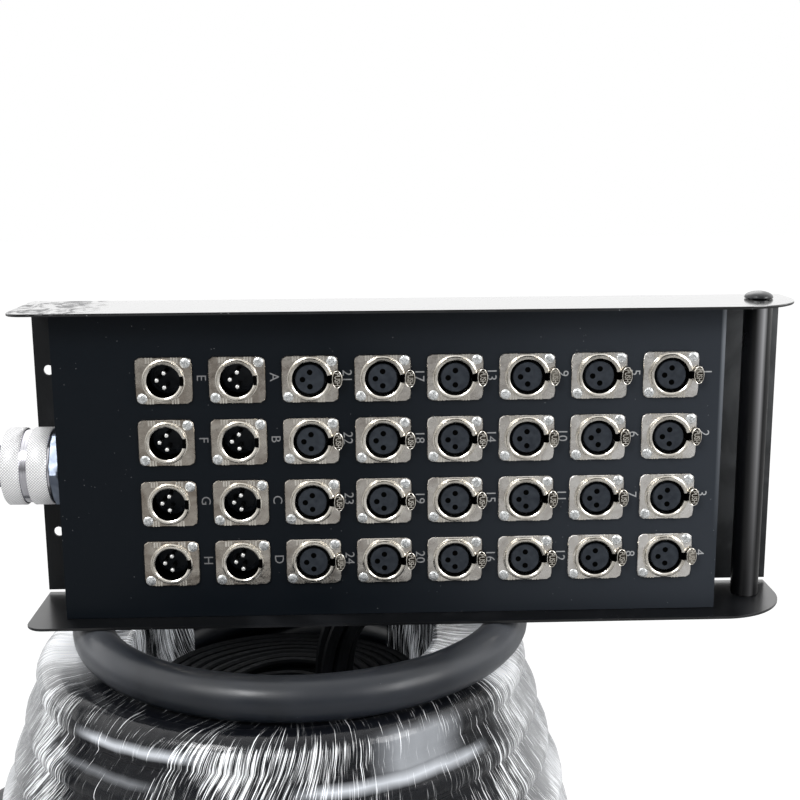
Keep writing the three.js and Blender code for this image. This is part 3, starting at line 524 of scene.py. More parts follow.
MAKERS.update(
    satin_black=plain("satin_black_bolt", (0.007, 0.008, 0.010), 0.3, (180, 3, 0.28, 0.4), coat=0.15),
    # Flat black of painted shade, for holes, slots and recesses
    hollow_black=plain("hollow_black", (0.0015, 0.0015, 0.0015), 0.9, (400, 2, 0.85, 1), gloss=0),
    zinc=plain(
        "zinc_screw", (0.66, 0.72, 0.76), 0.22, (700, 2, 0.2, 0.4), (900, 3, 0, 0.35, 0.65),
        ((0.95, 0.97, 0.98), (0.55, 0.57, 0.57)), bump=(1100, 3, 0.6, 0.0004), metallic=0.8,
    ),
    tab_metal=plain(
        "tab_metal", (0.6, 0.58, 0.54), 0.22, (500, 2, 0.16, 0.3), (200, 3, 0, 0.35, 0.7),
        ((0.95, 0.91, 0.83), (0.66, 0.62, 0.55)), metallic=1,
    ),
    # Dark plating, in places lit up
    tab_recess=plain(
        "tab_recess", (0.1, 0.095, 0.085), 0.45, (900, 2, 0.35, 0.5), (38, 2, 0, 0.57, 0.65),
        ((0.035, 0.03, 0.022), (0.3, 0.28, 0.24)), metallic=1,
    ),
    insert_plastic=plain(
        "insert_plastic", (0.008, 0.009, 0.012), 0.45, (200, 3, 0.36, 0.55), (300, 3, 0, 0.3, 0.7),
        ((0.017, 0.021, 0.028), (0.031, 0.037, 0.046)), gloss=0.2,
    ),
    hexagon_plating=plain(
        "blue_white_plating", (0.4, 0.45, 0.53), 0.3, (300, 3, 0.36, 0.5), (60, 4, 1, 0.35, 0.65),
        ((0.34, 0.39, 0.48), (0.2, 0.23, 0.29)), metallic=1,
    ),
    black_rubber=plain(
        "black_rubber", (0.013, 0.013, 0.015), 0.62, (300, 3, 0.55, 0.72), (120, 3, 0, 0.3, 0.7),
        ((0.006, 0.006, 0.008), (0.016, 0.016, 0.019)), bump=(1200, 2, 0.2, 0.0001), gloss=0.3,
    ),
    # Darker and duller, a painted shade, as the tails lie deep in the hollow
    tail_jacket=plain(
        "tail_jacket", (0.004, 0.0045, 0.0055), 0.7, (300, 3, 0.6, 0.78), (90, 3, 0, 0.3, 0.7),
        ((0.0025, 0.003, 0.0035), (0.006, 0.007, 0.009)), gloss=0.12,
    ),
)


# Mesh code, in millimetres


OPEN, SHUT, NEAR_SHUT, FAR_SHUT = (False, False), (True, True), (True, False), (False, True)


class Mesher:
    """Collects faces, each with a material, and makes one object of them."""

    def __init__(self, *names):
        self.bm = bmesh.new()
        self.names = names
        self.current = 0
        self.smooth = True

    def use(self, name):
        self.current = self.names.index(name)
        return self

    def face(self, verts):
        try:
            made = self.bm.faces.new(verts)
        except ValueError:
            return
        made.material_index = self.current
        made.smooth = self.smooth

    def verts(self, points):
        return [self.bm.verts.new(p) for p in points]

    def rings(self, rings, caps=SHUT, closed=True):
        """Faces between rings of points, with capped ends."""
        made = [self.verts(ring) for ring in rings]
        count = len(made[0])
        last = count if closed else count - 1
        for a, b in zip(made, made[1:]):
            for k in range(last):
                n = (k + 1) % count
                self.face((a[k], a[n], b[n], b[k]))
        if caps[0]:
            self.face(made[0][::-1])
        if caps[1]:
            self.face(made[-1])

    def turned(self, profile, place, axes, sides=32, caps=OPEN, span=None, radius=None):
        """A profile of (radius, along) turned about an axis. axes are (across, up, along)."""
        across, up, along = (Vector(a) for a in axes)
        start, end = span or (0, FULL_TURN)
        count = sides if span is None else sides + 1
        rings = []
        for r, t in profile:
            ring = []
            for k in range(count):
                angle = start + (end - start) * k / sides
                reach = radius(r, t, angle) if radius else r
                offset = across * cos(angle) + up * sin(angle)
                ring.append(Vector(place) + offset * reach + along * t)
            rings.append(ring)
        self.rings(rings, caps, closed=span is None)

    def slab(self, outline, place, axes, low, high, bevel=0.3):
        """A plate with softened edges. outline is a list of (across, up) points."""
        across, up, along = (Vector(a) for a in axes)
        middle = Vector((sum(p[0] for p in outline), sum(p[1] for p in outline))) / len(outline)

        def ring(t, inset):
            points = []
            for p in outline:
                away = Vector(p) - middle
                short = Vector(p) - away.normalized() * inset
                points.append(Vector(place) + across * short.x + up * short.y + along * t)
            return points

        levels = ((low, bevel), (low + bevel, 0), (high - bevel, 0), (high, bevel))
        self.rings([ring(*level) for level in levels])

    def tube(self, points, radius, sides):
        """A round tube along points; radius is a number or one for each point."""
        frames = transported(points)
        rings = []
        for i, (p, (side, above)) in enumerate(zip(points, frames)):
            r = radius[i] if isinstance(radius, (list, tuple)) else radius
            rings.append(ring_round(p, side, above, r, sides))
        self.rings(rings)

    def box(self, low, high, at):
        """A sharp-edged block between two corners, seen from the point at."""
        (x, y, bottom), (right, back, top) = low, high
        square = ((x, y), (right, y), (right, back), (x, back))
        corners = [at + Vector((*place, z)) for z in (bottom, top) for place in square]
        smooth, self.smooth = self.smooth, False
        self.rings([corners[:4], corners[4:]])
        self.smooth = smooth

    def done(self, name, body=BODY, replaces=(), sharp=35, merge=True):
        if merge:
            bmesh.ops.remove_doubles(self.bm, verts=self.bm.verts, dist=0.001)
        bmesh.ops.recalc_face_normals(self.bm, faces=self.bm.faces)
        limit = radians(sharp)
        for edge in self.bm.edges:
            if len(edge.link_faces) == 2 and edge.calc_face_angle(0) > limit:
                edge.smooth = False
        bmesh.ops.scale(self.bm, vec=(MM, MM, MM), verts=self.bm.verts)
        data = bpy.data.meshes.new(name)
        self.bm.to_mesh(data)
        self.bm.free()
        made = placed(name, data)
        for used in self.names:
            data.materials.append(material(used))
        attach(made, body)
        if replaces:
            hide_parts(*replaces)
        return made


def placed(name, data):
    """A new object in the scene."""
    made = bpy.data.objects.new(name, data)
    bpy.context.collection.objects.link(made)
    return made


def turns(sides):
    return [FULL_TURN * k / sides for k in range(sides)]


def ring_round(point, side, above, radius, sides):
    """A circle of points in the plane of two directions."""
    return [point + (side * cos(a) + above * sin(a)) * radius for a in turns(sides)]


def transported(points):
    """A pair of directions square to the line at each point, with no twist along it."""
    frames = []
    side = None
    for i, _ in enumerate(points):
        along = (points[min(i + 1, len(points) - 1)] - points[max(i - 1, 0)]).normalized()
        if side is None:
            side = along.cross(Vector((0, 0, 1)))
        side = (side - along * side.dot(along)).normalized()
        frames.append((side, along.cross(side)))
    return frames


def softened(points, rounds):
    for _ in range(rounds):
        inner = [(a + b * 2 + c) / 4 for a, b, c in zip(points, points[1:], points[2:])]
        points = [points[0], *inner, points[-1]]
    return points


def threaded(points, step):
    """A smooth line through points, in steps of about the length given."""
    ends = [points[0] * 2 - points[1], *points, points[-1] * 2 - points[-2]]
    line = []
    for a, b, c, d in zip(ends, ends[1:], ends[2:], ends[3:]):
        count = max(1, round((c - b).length / step))
        for k in range(count):
            t = k / count
            curve = (a * 2 - b * 5 + c * 4 - d) * t**2 + (b * 3 - a - c * 3 + d) * t**3
            line.append((b * 2 + (c - a) * t + curve) / 2)
    return [*line, points[-1]]


def length_of(points):
    return sum((b - a).length for a, b in zip(points, points[1:]))


# Lines of the cable


def eased(share):
    return share * share * (3 - 2 * share)


def on_coil(radius, angle, z):
    return COIL + Vector((radius * cos(angle), radius * sin(angle), z))


def layer_z(i):
    return FIRST_LAYER + i * LAYER_PITCH


def coil_line():
    """The outer turns from the floor up, and the bare top turn, which ends winding inwards."""
    levels = [(r, layer_z(i)) for i, r in enumerate(LAYER_RADII)] + [(TOP_TURN_RADIUS, TOP_TURN_Z)]
    points = []
    for i, (radius, z) in enumerate(levels):
        last = i == len(levels) - 1
        span = LEVEL_DEGREES + END_DEGREES if last else 360
        for t in range(0, span + (1 if last else 0), STEP_DEGREES):
            past = max(0, t - LEVEL_DEGREES)
            right = 0
            if last:
                r, h = radius - END_INWARD * past / 15, z
                over, back = (eased(min(1, share)) for share in (t / SHIFT_DEGREES, past / BACK_DEGREES))
                right = TOP_TURN_RIGHT * (over - back)
            else:
                share = eased(min(1, past / CLIMB_DEGREES))
                r = radius + (levels[i + 1][0] - radius) * share
                h = z + (levels[i + 1][1] - z) * share
            points.append(on_coil(r, radians(LEVEL_START - t), h) + Vector((right, 0, 0)))
    way = (points[-1] - points[-2]).normalized()
    points += [points[-1] + way * 8 * k for k in (1, 2, 3)]
    return softened(points, 3)


def trunk_line():
    route = [COIL + Vector(p) for p in LEAD_ROUTE]
    start = Vector((GRID.x + WALL_LEFT - NUT_END - 0.3, GRID.y + GLAND_Y, GRID.z))
    coil = coil_line()
    back = (coil[0] - coil[1]).normalized()
    lead = threaded([start, *route, coil[0] + back * 24], 7)
    return softened(lead, 2) + [coil[0] + back * 16, coil[0] + back * 8] + coil


def inner_line():
    """The turns behind the outer layer, up the hollow's wall."""
    heights = [layer_z(i) for i in range(INNER_TURNS)]
    points = []
    for z, following in zip(heights, [*heights[1:], heights[-1]]):
        for t in range(0, 360, STEP_DEGREES * 2):
            share = eased(min(1, max(0, t - LEVEL_DEGREES) / CLIMB_DEGREES))
            height = z + (following - z) * share
            points.append(on_coil(INNER_RADIUS, radians(LEVEL_START - t), height))
    return softened(points, 2)


def from_end(steps, line):
    return [line[-1] + Vector(step) for step in steps]


# Pieces

ACROSS, UP, DEPTH = (1, 0, 0), (0, 0, 1), (0, 1, 0)
FACING = (ACROSS, UP, DEPTH)
FLAT = (ACROSS, DEPTH, UP)
SIDEWAYS = (DEPTH, UP, (-1, 0, 0))


def socket_place(column, row):
    x = GRID.x + (column - (COLUMNS - 1) / 2) * COLUMN_PITCH
    z = GRID.z - (row - (ROWS - 1) / 2) * ROW_PITCH
    return Vector((x, GRID.y, z))


def sockets(*columns):
    """The column, row and place of each socket in some columns."""
    for column in columns:
        for row in range(ROWS):
            yield column, row, socket_place(column, row)


def channel_number(column, row):
    return (COLUMNS - 1 - column) * ROWS + row + 1


def column_name(column):
    return f"return_{column + 1}" if column < MALE_COLUMNS else f"send_{column - MALE_COLUMNS + 1}"


def make_camera():
    data = bpy.data.cameras.new("photo_camera")
    camera = placed("photo_camera", data)
    turn = Vector(CAMERA_TURN)
    spin = Matrix.Rotation(turn.length, 3, turn.normalized())
    looking = spin @ Matrix(((1, 0, 0), (0, 0, -1), (0, 1, 0)))
    camera.matrix_world = Matrix.Translation(Vector(CAMERA_PLACE) * MM) @ (
        looking.transposed() @ Matrix.Diagonal((1, -1, -1))
    ).to_4x4()
    data.lens = CAMERA_LENS
    data.sensor_width = SENSOR
    data.clip_start = 0.01
    bpy.context.scene.camera = camera


def make_round(name, look, line, radius, sides, replaces=()):
    """A piece that is one round tube along a line."""
    mesher = Mesher(look)
    mesher.tube(line, radius, sides)
    return mesher.done(name, replaces=replaces)


def make_cable():
    line, inner = trunk_line(), inner_line()
    stands_for = ("trunk_lead", "coil_winding")
    trunk = make_round("trunk_cable", "cable_jacket", line, CABLE_RADIUS, 20, stands_for)
    turns_inside = make_round("inner_turns", "cable_jacket", inner, CABLE_RADIUS, 14, ("coil_core",))
    boot_line = threaded(from_end(BOOT_STEPS, line), 3)
    share = [i / (len(boot_line) - 1) for i in range(len(boot_line))]
    ribs = [12 + 2.6 * s * s + (0.5 if int(s * 22) % 2 and 0.15 < s < 0.85 else 0) for s in share]
    boot = make_round("fanout_boot_skin", "black_rubber", boot_line, ribs, 24, ("fanout_boot",))
    hank, tail, tail_line = make_tails(line)
    plugs = [
        make_plugs("send_plugs", range(PLUG_ROWS - 1), "tail_plugs_sends"),
        make_plugs("return_plugs", range(PLUG_ROWS - 1, PLUG_ROWS), "tail_plugs_returns"),
    ]
    declare_cord(trunk, line)
    declare_cord(turns_inside, inner)
    declare_cord(tail, tail_line)


def declare_cord(piece, line):
    length_of(line) * MM
    [tuple(p * MM) for p in line]


def make_tails(line):
    """The tails' bundle from the boot, the hank in the hollow, and the tail that lies round its top."""
    bundle = threaded(from_end(TAILS_STEPS, line), 4)
    frames = transported(bundle)
    mesher = Mesher("tail_jacket")
    for k in range(STRANDS):
        strand = []
        for i, (p, (side, above)) in enumerate(zip(bundle, frames)):
            a = FULL_TURN * k / STRANDS + 0.05 * i
            strand.append(p + (side * cos(a) + above * sin(a)) * BUNDLE_RADIUS)
        mesher.tube(strand, STRAND_RADIUS, 8)
    for layer in range(HANK_LAYERS):
        for lane in range(HANK_LANES):
            # Only the turns that show: the two top layers and the walls.
            if layer < HANK_LAYERS - 2 and 0 < lane < HANK_LANES - 1:
                continue
            r, z = HANK_INNER + LANE_PITCH * lane, HANK_FLOOR + HANK_PITCH * layer
            closed_tube(mesher, [hank_point(r, z, a, layer) for a in turns(HANK_STEPS)], TAIL_RADIUS, 8)
    hank = mesher.done("fanout_tail_hank", replaces=("fanout_tails",), merge=False)

    start = bundle[-1] - COIL
    angle, radius = atan2(start.y, start.x), hypot(start.x, start.y)
    around = []
    for k in range(round(TAIL_TURNS * HANK_STEPS)):
        r = radius + 3 + (HANK_OUTER - radius) * k / (TAIL_TURNS * HANK_STEPS)
        a = angle - 0.25 - FULL_TURN * k / HANK_STEPS
        around.append(hank_point(r, HANK_TOP, a, HANK_LAYERS))
    # Its end crosses the hank and drops down the middle to the plugs.
    last = around[-1] - COIL
    drop = [(k, DROP_HEIGHT) for k in DROP_SHARES] + [(DROP_END, z) for z in DROP_HEIGHTS]
    over = [COIL + Vector((last.x * k, last.y * k, z)) for k, z in drop]
    tail_line = softened([*bundle[:-3], *around[1:], *over], 2)
    tail = make_round("long_tail", "tail_jacket", tail_line, TAIL_RADIUS, 10)
    return hank, tail, tail_line


def hank_point(radius, z, angle, layer):
    seat = Vector((cos(angle) * 1.6, sin(angle) * 1.6, layer * 0.7 + radius * 0.02))
    wave = noise.noise(seat)
    return on_coil(radius + 2.2 * wave, angle, z + 1.2 * wave)


def closed_tube(mesher, points, radius, sides):
    rings = []
    count = len(points)
    for i, p in enumerate(points):
        along = (points[(i + 1) % count] - points[i - 1]).normalized()
        side = along.cross(Vector((0, 0, 1))).normalized()
        rings.append(ring_round(p, side, side.cross(along), radius, sides))
    mesher.rings([*rings, rings[0]], OPEN)


def make_plugs(name, rows, node):
    mesher = Mesher("nickel", "black_rubber")
    r = PLUG_RADIUS
    shell = [(r - 1.2, 0), (r - 0.5, 0.3), (r - 0.4, 15), (r, 16), (r, 40), (r - 0.8, 42)]
    neck = [(r - 0.9, 42), (r - 1.2, 44), (6.6, 50), (5.6, 52), (5.8, 54), (4.8, 56), (4.9, 58)]
    neck.append((3.6, PLUG_LENGTH - 0.2))
    for row in rows:
        stagger = (PLUG_PITCH if row % 2 else -PLUG_PITCH) / 4
        apart = 0.9 if row == PLUG_ROWS - 1 else 0
        y = (row - (PLUG_ROWS - 1) / 2) * PLUG_PITCH * sqrt(3) / 2 + apart
        for i in range(PLUGS_IN_ROW):
            x = (i - (PLUGS_IN_ROW - 1) / 2) * PLUG_PITCH + stagger
            place = COIL + Vector((x, y, 0))
            mesher.use("nickel").turned(shell, place, FLAT, 16, NEAR_SHUT)
            mesher.use("black_rubber").turned(neck, place, FLAT, 16, FAR_SHUT)
    return mesher.done(name, replaces=(node,))


def make_film():
    """Stretch film round three quarters of the coil: hollow, bottom, outer turns and top."""
    reach = CABLE_RADIUS + FILM_CLEAR
    section = list(FILM_FOOT)
    for i, radius in enumerate(LAYER_RADII):
        z = layer_z(i)
        low, high = (-70 if i == 0 else -FILM_CREST), (80 if i == len(LAYER_RADII) - 1 else FILM_CREST)
        for k in range(9):
            a = radians(low + (high - low) * k / 8)
            section.append((radius + reach * cos(a), z + reach * sin(a)))
    section += [*FILM_TOP, *((FILM_WALL, z) for z in FILM_WALL_HEIGHTS)]
    rings = []
    for k in range(FILM_SIDES + 1):
        share = k / FILM_SIDES
        near = min(share, 1 - share)
        rings.append([])
        for r, z in section:
            outer = r > 118 and 2 < z < 150
            ragged = 1.6 * noise.noise(Vector((z * 0.06, r * 0.02, 3 if share < 0.5 else 9)))
            edge = ragged * max(0, 1 - near / FILM_EDGE)
            degrees = LEVEL_START - LEVEL_DEGREES * share + (edge if share < 0.5 else -edge)
            a = radians(degrees)
            seat = Vector((cos(a) * 9, sin(a) * 9, z * 0.02))
            crease = noise.noise(seat) * 0.5 + 0.35 * noise.noise(seat * 3.1 + Vector((0, 0, z * 0.05)))
            lift = min(0, crease - 0.12) * (1.3 if outer else 0.2)
            rings[-1].append(on_coil(r + lift, a, max(0.15, z)))
    mesher = Mesher("film")
    mesher.rings(rings, OPEN)
    made = mesher.done("stretch_film", replaces=("film_wrap",), sharp=80)
    round_section = sum(dist(p, q) for p, q in zip(section, section[1:] + section[:1]))


def plate_outline():
    points = []

    def corner(x, y, radius, start, steps):
        for k in range(steps + 1):
            a = radians(start + 90 * k / steps)
            points.append((x + radius * cos(a), y + radius * sin(a)))

    points += [(PLATE_RIGHT, PLATE_BACK), (PLATE_LEFT, PLATE_BACK)]
    corner(PLATE_LEFT + LEFT_CORNER, PLATE_FRONT + LEFT_CORNER, LEFT_CORNER, 180, 10)
    corner(PLATE_RIGHT - RIGHT_CORNER, PLATE_FRONT + RIGHT_CORNER, RIGHT_CORNER, 270, 24)
    return points


def make_plates():
    for name, node, low, high in (
        ("top_plate", "top_cheek", TOP_INSIDE, TOP_INSIDE + PLATE_SHEET),
        ("bottom_plate", "bottom_cheek", BOTTOM_INSIDE - PLATE_SHEET, BOTTOM_INSIDE),
    ):
        mesher = Mesher("plate_paint")
        mesher.slab(plate_outline(), GRID, FLAT, low, high, 0.25)
        mesher.done(name, replaces=(node,))


def make_handle():
    place = Vector((GRID.x + HANDLE_X, GRID.y + HANDLE_Y, GRID.z))
    low, high, r = BOTTOM_INSIDE + 0.3, TOP_INSIDE - 0.3, HANDLE_RADIUS
    mesher = Mesher("tube_black")
    end = ((r - 1, 0), (r - 0.25, 0.2), (r, 1))
    profile = [(a, low + t) for a, t in end] + [(a, high - t) for a, t in end[::-1]]
    mesher.turned(profile, place, FLAT, 48, SHUT)
    mesher.done("carrying_tube", replaces=("handle_tube",))
    for name, node, seat, way in (
        ("bolt_top", "handle_bolt_top", TOP_INSIDE + PLATE_SHEET + BOLT_GAP, 1),
        ("bolt_bottom", "handle_bolt_bottom", BOTTOM_INSIDE - PLATE_SHEET - BOLT_GAP, -1),
    ):
        mesher = Mesher("satin_black")
        dome = [(BOLT_RADIUS - 0.3, 0), (BOLT_RADIUS, 0.4)]
        slopes = [radians(d) for d in range(8, 90, 8)]
        dome += [(BOLT_RADIUS * cos(a), 0.6 + 3.5 * sin(a)) for a in slopes]
        shank = [(3, -BOLT_GAP - PLATE_SHEET - 19), (3, -0.1), (3.2, 0)]
        place_at = place + Vector((0, 0, seat))
        mesher.turned([*shank, *dome], place_at, (ACROSS, DEPTH, (0, 0, way)), 40, SHUT)
        mesher.done(name, replaces=(node,))


def make_flange(mesher, place):
    """The flat flange with its hole, and ribs along its top and bottom edges."""
    sides = 48
    outer = []
    for k in range(sides):
        a = FULL_TURN * k / sides
        c, s = cos(a), sin(a)
        low, high = 0, 30
        for _ in range(30):
            t = (low + high) / 2
            x, y = abs(c * t), abs(s * t)
            beyond_x, beyond_y = x - FLANGE_HALF_WIDTH, y - FLANGE_HALF_HEIGHT
            corner = hypot(max(0, beyond_x + FLANGE_ROUND), max(0, beyond_y + FLANGE_ROUND))
            inside = beyond_x <= 0 and beyond_y <= 0 and corner <= FLANGE_ROUND
            low, high = (t, high) if inside else (low, t)
        outer.append((c * low, s * low, c, s))

    def ring(y, inset=0, radius=None):
        if radius:
            return [place + Vector((c * radius, y, s * radius)) for _, _, c, s in outer]
        return [place + Vector((x - c * inset, y, z - s * inset)) for x, z, c, s in outer]

    hole = RING_RADIUS - 0.1
    front = ((FLANGE_FRONT + 0.35,), (FLANGE_FRONT, 0.35), (FLANGE_FRONT, 0, hole))
    levels = ((FLANGE_BACK, 0, hole), (FLANGE_BACK,), *front)
    mesher.rings([ring(*level) for level in levels], OPEN)
    mesher.use("tab_metal")
    for edge in (-1, 1):
        for side in (-1, 1):
            for k in range(3):
                at = place + Vector(((4.6 if side > 0 else -9.2) + 1.5 * k, FLANGE_FRONT, edge * 11.3))
                for share in (0, 0.5):
                    w = 0.5 - 0.4 * share
                    mesher.box((-w, -0.2 - 0.3 * share, -1.6), (w, 0.05, 1.6), at)


def make_screw(mesher, place):
    r, y = SCREW_RADIUS, FLANGE_FRONT
    head = [(r, y + 0.1), (r, y - 0.3), (r - 0.35, y - 0.6), (0.9, y - 0.95)]
    mesher.use("zinc").turned(head, place, FACING, 24, FAR_SHUT)
    # Painted shade in the cross recess.
    mesher.use("hollow_black")
    for w, h in ((1.2, 0.16), (0.16, 1.2)):
        mesher.box((-w, y - 0.94, -h), (w, y - 0.8, h), place)


def join_column(mesher, column, near, far):
    """A bar behind the panel that joins a column's four sockets."""
    mesher.box((*near, 0), (*far, (ROWS - 1) * ROW_PITCH), socket_place(column, ROWS - 1))


def make_shells(column):
    male = column < MALE_COLUMNS
    mesher = Mesher("nickel", "hollow_black", "zinc", "tab_metal")
    notch = asin(2.5 / RING_RADIUS)
    for _, _, place in sockets(column):
        mesher.use("nickel")
        make_flange(mesher, place)
        r, b = RING_RADIUS, BORE_RADIUS
        lip = [(r + 0.9, -0.1), (r + 0.75, -0.7), (r + 0.1, -1), (r + 0.05, -1.5)]
        lip += [(r - 0.3, -1.95), (b + 0.5, -2), (b - 0.1, -1.6)]
        tight = 0.6 if male else 0
        lip = [(reach - tight, FLANGE_FRONT + along) for reach, along in lip]
        profile = [(r, BARREL_END), (r, FLANGE_FRONT), *lip]
        profile += [(b, RING_FRONT + 1.2), (b, BARREL_END), (r, BARREL_END)]

        def keyed(reach, along, angle):
            near = abs(sin(angle)) * b < 1.6 and cos(angle) > 0
            return 11 if near and reach < b + 0.1 and along < 6 else reach

        if male:
            mesher.turned(profile, place, FACING, 72, radius=keyed)
            # The bore's black plastic lining, in the flat black of painted shade.
            lining = [(b - 0.05, RING_FRONT + 0.9), (b - 0.05, 12)]
            mesher.use("hollow_black").turned(lining, place, FACING, 48)
            # Painted shade in the keyway slot.
            mesher.box((9.1, RING_FRONT - 0.04, -2.7), (11.1, RING_FRONT + 0.46, 2.7), place)
        else:
            mesher.turned(profile, place, FACING, 48, span=(notch, FULL_TURN - notch))
        for sx, sz in ((1, 1), (-1, -1)):
            make_screw(mesher, place + Vector((sx * SCREW_X, 0, sz * SCREW_Z)))
    mesher.use("nickel")
    join_column(mesher, column, (-11.4, 16), (-10.4, 18))
    name = column_name(column)
    mesher.done(f"{name}_sockets", replaces=(f"{name}_shells",))


def make_inserts(column):
    core, sides, look, pin, pin_sides = MALE_INSERT if column < MALE_COLUMNS else FEMALE_INSERT
    mesher = Mesher("insert_plastic", "pin_metal", "hollow_black")
    for _, _, place in sockets(column):
        mesher.use("insert_plastic").turned(core, place, FACING, sides, SHUT)
        for x, z in PIN_PLACES:
            mesher.use(look).turned(pin, place + Vector((x, 0, z)), FACING, pin_sides, FAR_SHUT)
    mesher.use("insert_plastic")
    join_column(mesher, column, (-3, 21.8), (3, 27))
    name = column_name(column)
    mesher.done(f"{name}_cores", replaces=(f"{name}_inserts",))


def make_tabs():
    for column, row, place in sockets(*range(MALE_COLUMNS, COLUMNS)):
        mesher = Mesher("tab_metal", "tab_recess", "hollow_black")

        def oval(inset):
            w, h = TAB_HALF_WIDTH - inset, TAB_HALF_HEIGHT - inset
            return [(TAB_MIDDLE + w * cos(a), h * sin(a)) for a in turns(32)]

        mesher.slab(oval(0), place, FACING, TAB_FRONT + 0.35, TAB_BACK, 0.25)
        outer, inner = oval(0.1), oval(0.45)
        levels = ((outer, 0.5), (outer, 0.1), (oval(0.25), 0), (inner, 0.1), (inner, 0.4))
        rim = [[place + Vector((x, TAB_FRONT + y, z)) for x, z in ring] for ring, y in levels]
        mesher.rings(rim, OPEN)
        mesher.use("tab_recess").slab(inner, place, FACING, TAB_FRONT + 0.3, TAB_FRONT + 0.5, 0.05)
        mesher.use("tab_metal")
        at = place + Vector((TAB_MIDDLE, TAB_FRONT + 0.22, 0))
        add_text(mesher, "PUSH", 4.5, at, 0.05, 0.14, 0.68)
        # Painted shade in the gap behind the latch.
        mesher.use("hollow_black")
        for far in ((TAB_MIDDLE - 2, TAB_BACK, 1.9), (11.2, 5, 1.9)):
            mesher.box((9.5, TAB_FRONT + 0.3, -1.9), far, place)
        name = f"{channel_number(column, row):02d}"
        mesher.done(f"latch_{name}", f"tab_{name}", (f"push_tab_{name}",), merge=False)


def add_text(mesher, text, size, at, swell, thickness, squeeze=1):
    """Letters on the panel's plane that read downwards."""
    curve = bpy.data.curves.new("letters", "FONT")
    curve.body = text
    curve.align_x, curve.align_y = "CENTER", "CENTER"
    curve.size = size
    curve.offset = swell
    curve.extrude = thickness
    curve.resolution_u = 3
    holder = bpy.data.objects.new("letters", curve)
    mesh = holder.to_mesh()
    start = len(mesher.bm.verts)
    mesher.bm.from_mesh(mesh)
    mesher.bm.verts.ensure_lookup_table()
    added = mesher.bm.verts[start:]
    for v in added:
        x, y, z = v.co
        v.co = at + Vector((y, -z, -x * squeeze))
    for face in {face for v in added for face in v.link_faces}:
        face.material_index = mesher.current
        face.smooth = False
    holder.to_mesh_clear()
    bpy.data.objects.remove(holder)
    bpy.data.curves.remove(curve)


def channel_text(column, row):
    if column < MALE_COLUMNS:
        return "ABCDEFGH"[(MALE_COLUMNS - 1 - column) * ROWS + row]
    return str(channel_number(column, row))


def make_labels():
    """Channel letters and numbers beside the sockets, read from the right-hand side."""
    made = Mesher("label_ink")
    size = setting("label_height") / MM / CAPITAL_SHARE
    for column, row, place in sockets(*range(COLUMNS)):
        at = place + Vector((LABEL_RIGHT, -0.05, LABEL_UP))
        add_text(made, channel_text(column, row), size, at, -0.02, 0.02)
    made.done("channel_labels", merge=False)


def make_gland():
    wall = Vector((GRID.x + WALL_LEFT, GRID.y + GLAND_Y, GRID.z))
    sixth = pi / 3

    def hexed(r, t, angle):
        flat = HEX_RADIUS * cos(sixth / 2) / cos(angle % sixth - sixth / 2)
        return min(flat, r) if r > HEX_RADIUS - 3 else r

    mesher = Mesher("hexagon_plating", "aluminium")
    end = HEX_LENGTH + 0.3
    hexagon = [(18, 0.3), (21.4, 0.3), (HEX_RADIUS, 1), (HEX_RADIUS, end - 0.7), (21.4, end), (18, end)]
    mesher.turned(hexagon, wall, SIDEWAYS, 72, radius=hexed)
    thread = [(18, 0.3), (17.8, -13.4), (13, -13.4), (13, end + 11.9), (17.8, end + 11.9), (18, end)]
    mesher.use("aluminium").turned(thread, wall, SIDEWAYS, 48)
    mesher.done("gland_hexagon", replaces=("gland_body",), sharp=28)

    mesher = Mesher("aluminium", "knurled_aluminium")
    a, b, r = NUT_START, NUT_END, NUT_RADIUS
    smooth = (
        [(18.7, b - 6), (18.7, a + 0.2), (19.4, a), (20.6, a), (20.9, a + 0.9), (r - 0.6, a + 1)],
        [(r - 0.7, a + 12.2), (20.9, a + 12.4), (20.9, a + 16), (r - 0.7, a + 16.2)],
        [(r - 1, b - 0.3), (r - 2.4, b), (13.4, b), (12.7, b - 1), (12.7, b - 6), (18.7, b - 6)],
    )
    knurled = (
        [(r - 0.7, near), (r, near + 0.7), (r, far - 0.7), (r - 0.7, far)]
        for near, far in ((a + 1, a + 12.2), (a + 16.2, b - 0.3))
    )
    for look, bands in (("aluminium", smooth), ("knurled_aluminium", knurled)):
        for band in bands:
            mesher.use(look).turned(band, wall, SIDEWAYS, 96)
    mesher.done("knurled_nut", body="cap_nut", replaces=("gland_cap_nut",), sharp=50)


def make_cover_screws():
    mesher = Mesher("tube_black", "hollow_black")
    for x in (WALL_LEFT + 6.5, WALL_RIGHT - 6.5):
        for z in (-72, 2.5, 77):
            place = Vector((GRID.x + x, GRID.y + PLATE_BACK, GRID.z + z))
            head = [(3.4, -0.1), (3.4, 0.5), (2.8, 1.3), (1.6, 1.7)]
            mesher.use("tube_black").turned(head, place, FACING, 24, FAR_SHUT)
            # Painted shade in the cross recesses.
            mesher.use("hollow_black")
            for w, h in ((1.9, 0.35), (0.35, 1.9)):
                mesher.box((-w, 1.5, -h), (w, 1.76, h), place)
    mesher.done("cover_screws")


def finish_solids():
    """The looks of the solids that show as they are."""
    looks = {
        "front_shell": "black_paint",
        "back_cover": "cover_paint",
        "wiring_loom": "black_rubber",
        "gland_lock_nut": "aluminium",
        "gland_seal": "black_rubber",
    }
    for node, look in looks.items():
        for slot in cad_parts[node].material_slots:
            slot.material = material(look)


def ray(tree, kind):
    return node(tree, "ShaderNodeLightPath", output=f"Is {kind} Ray")


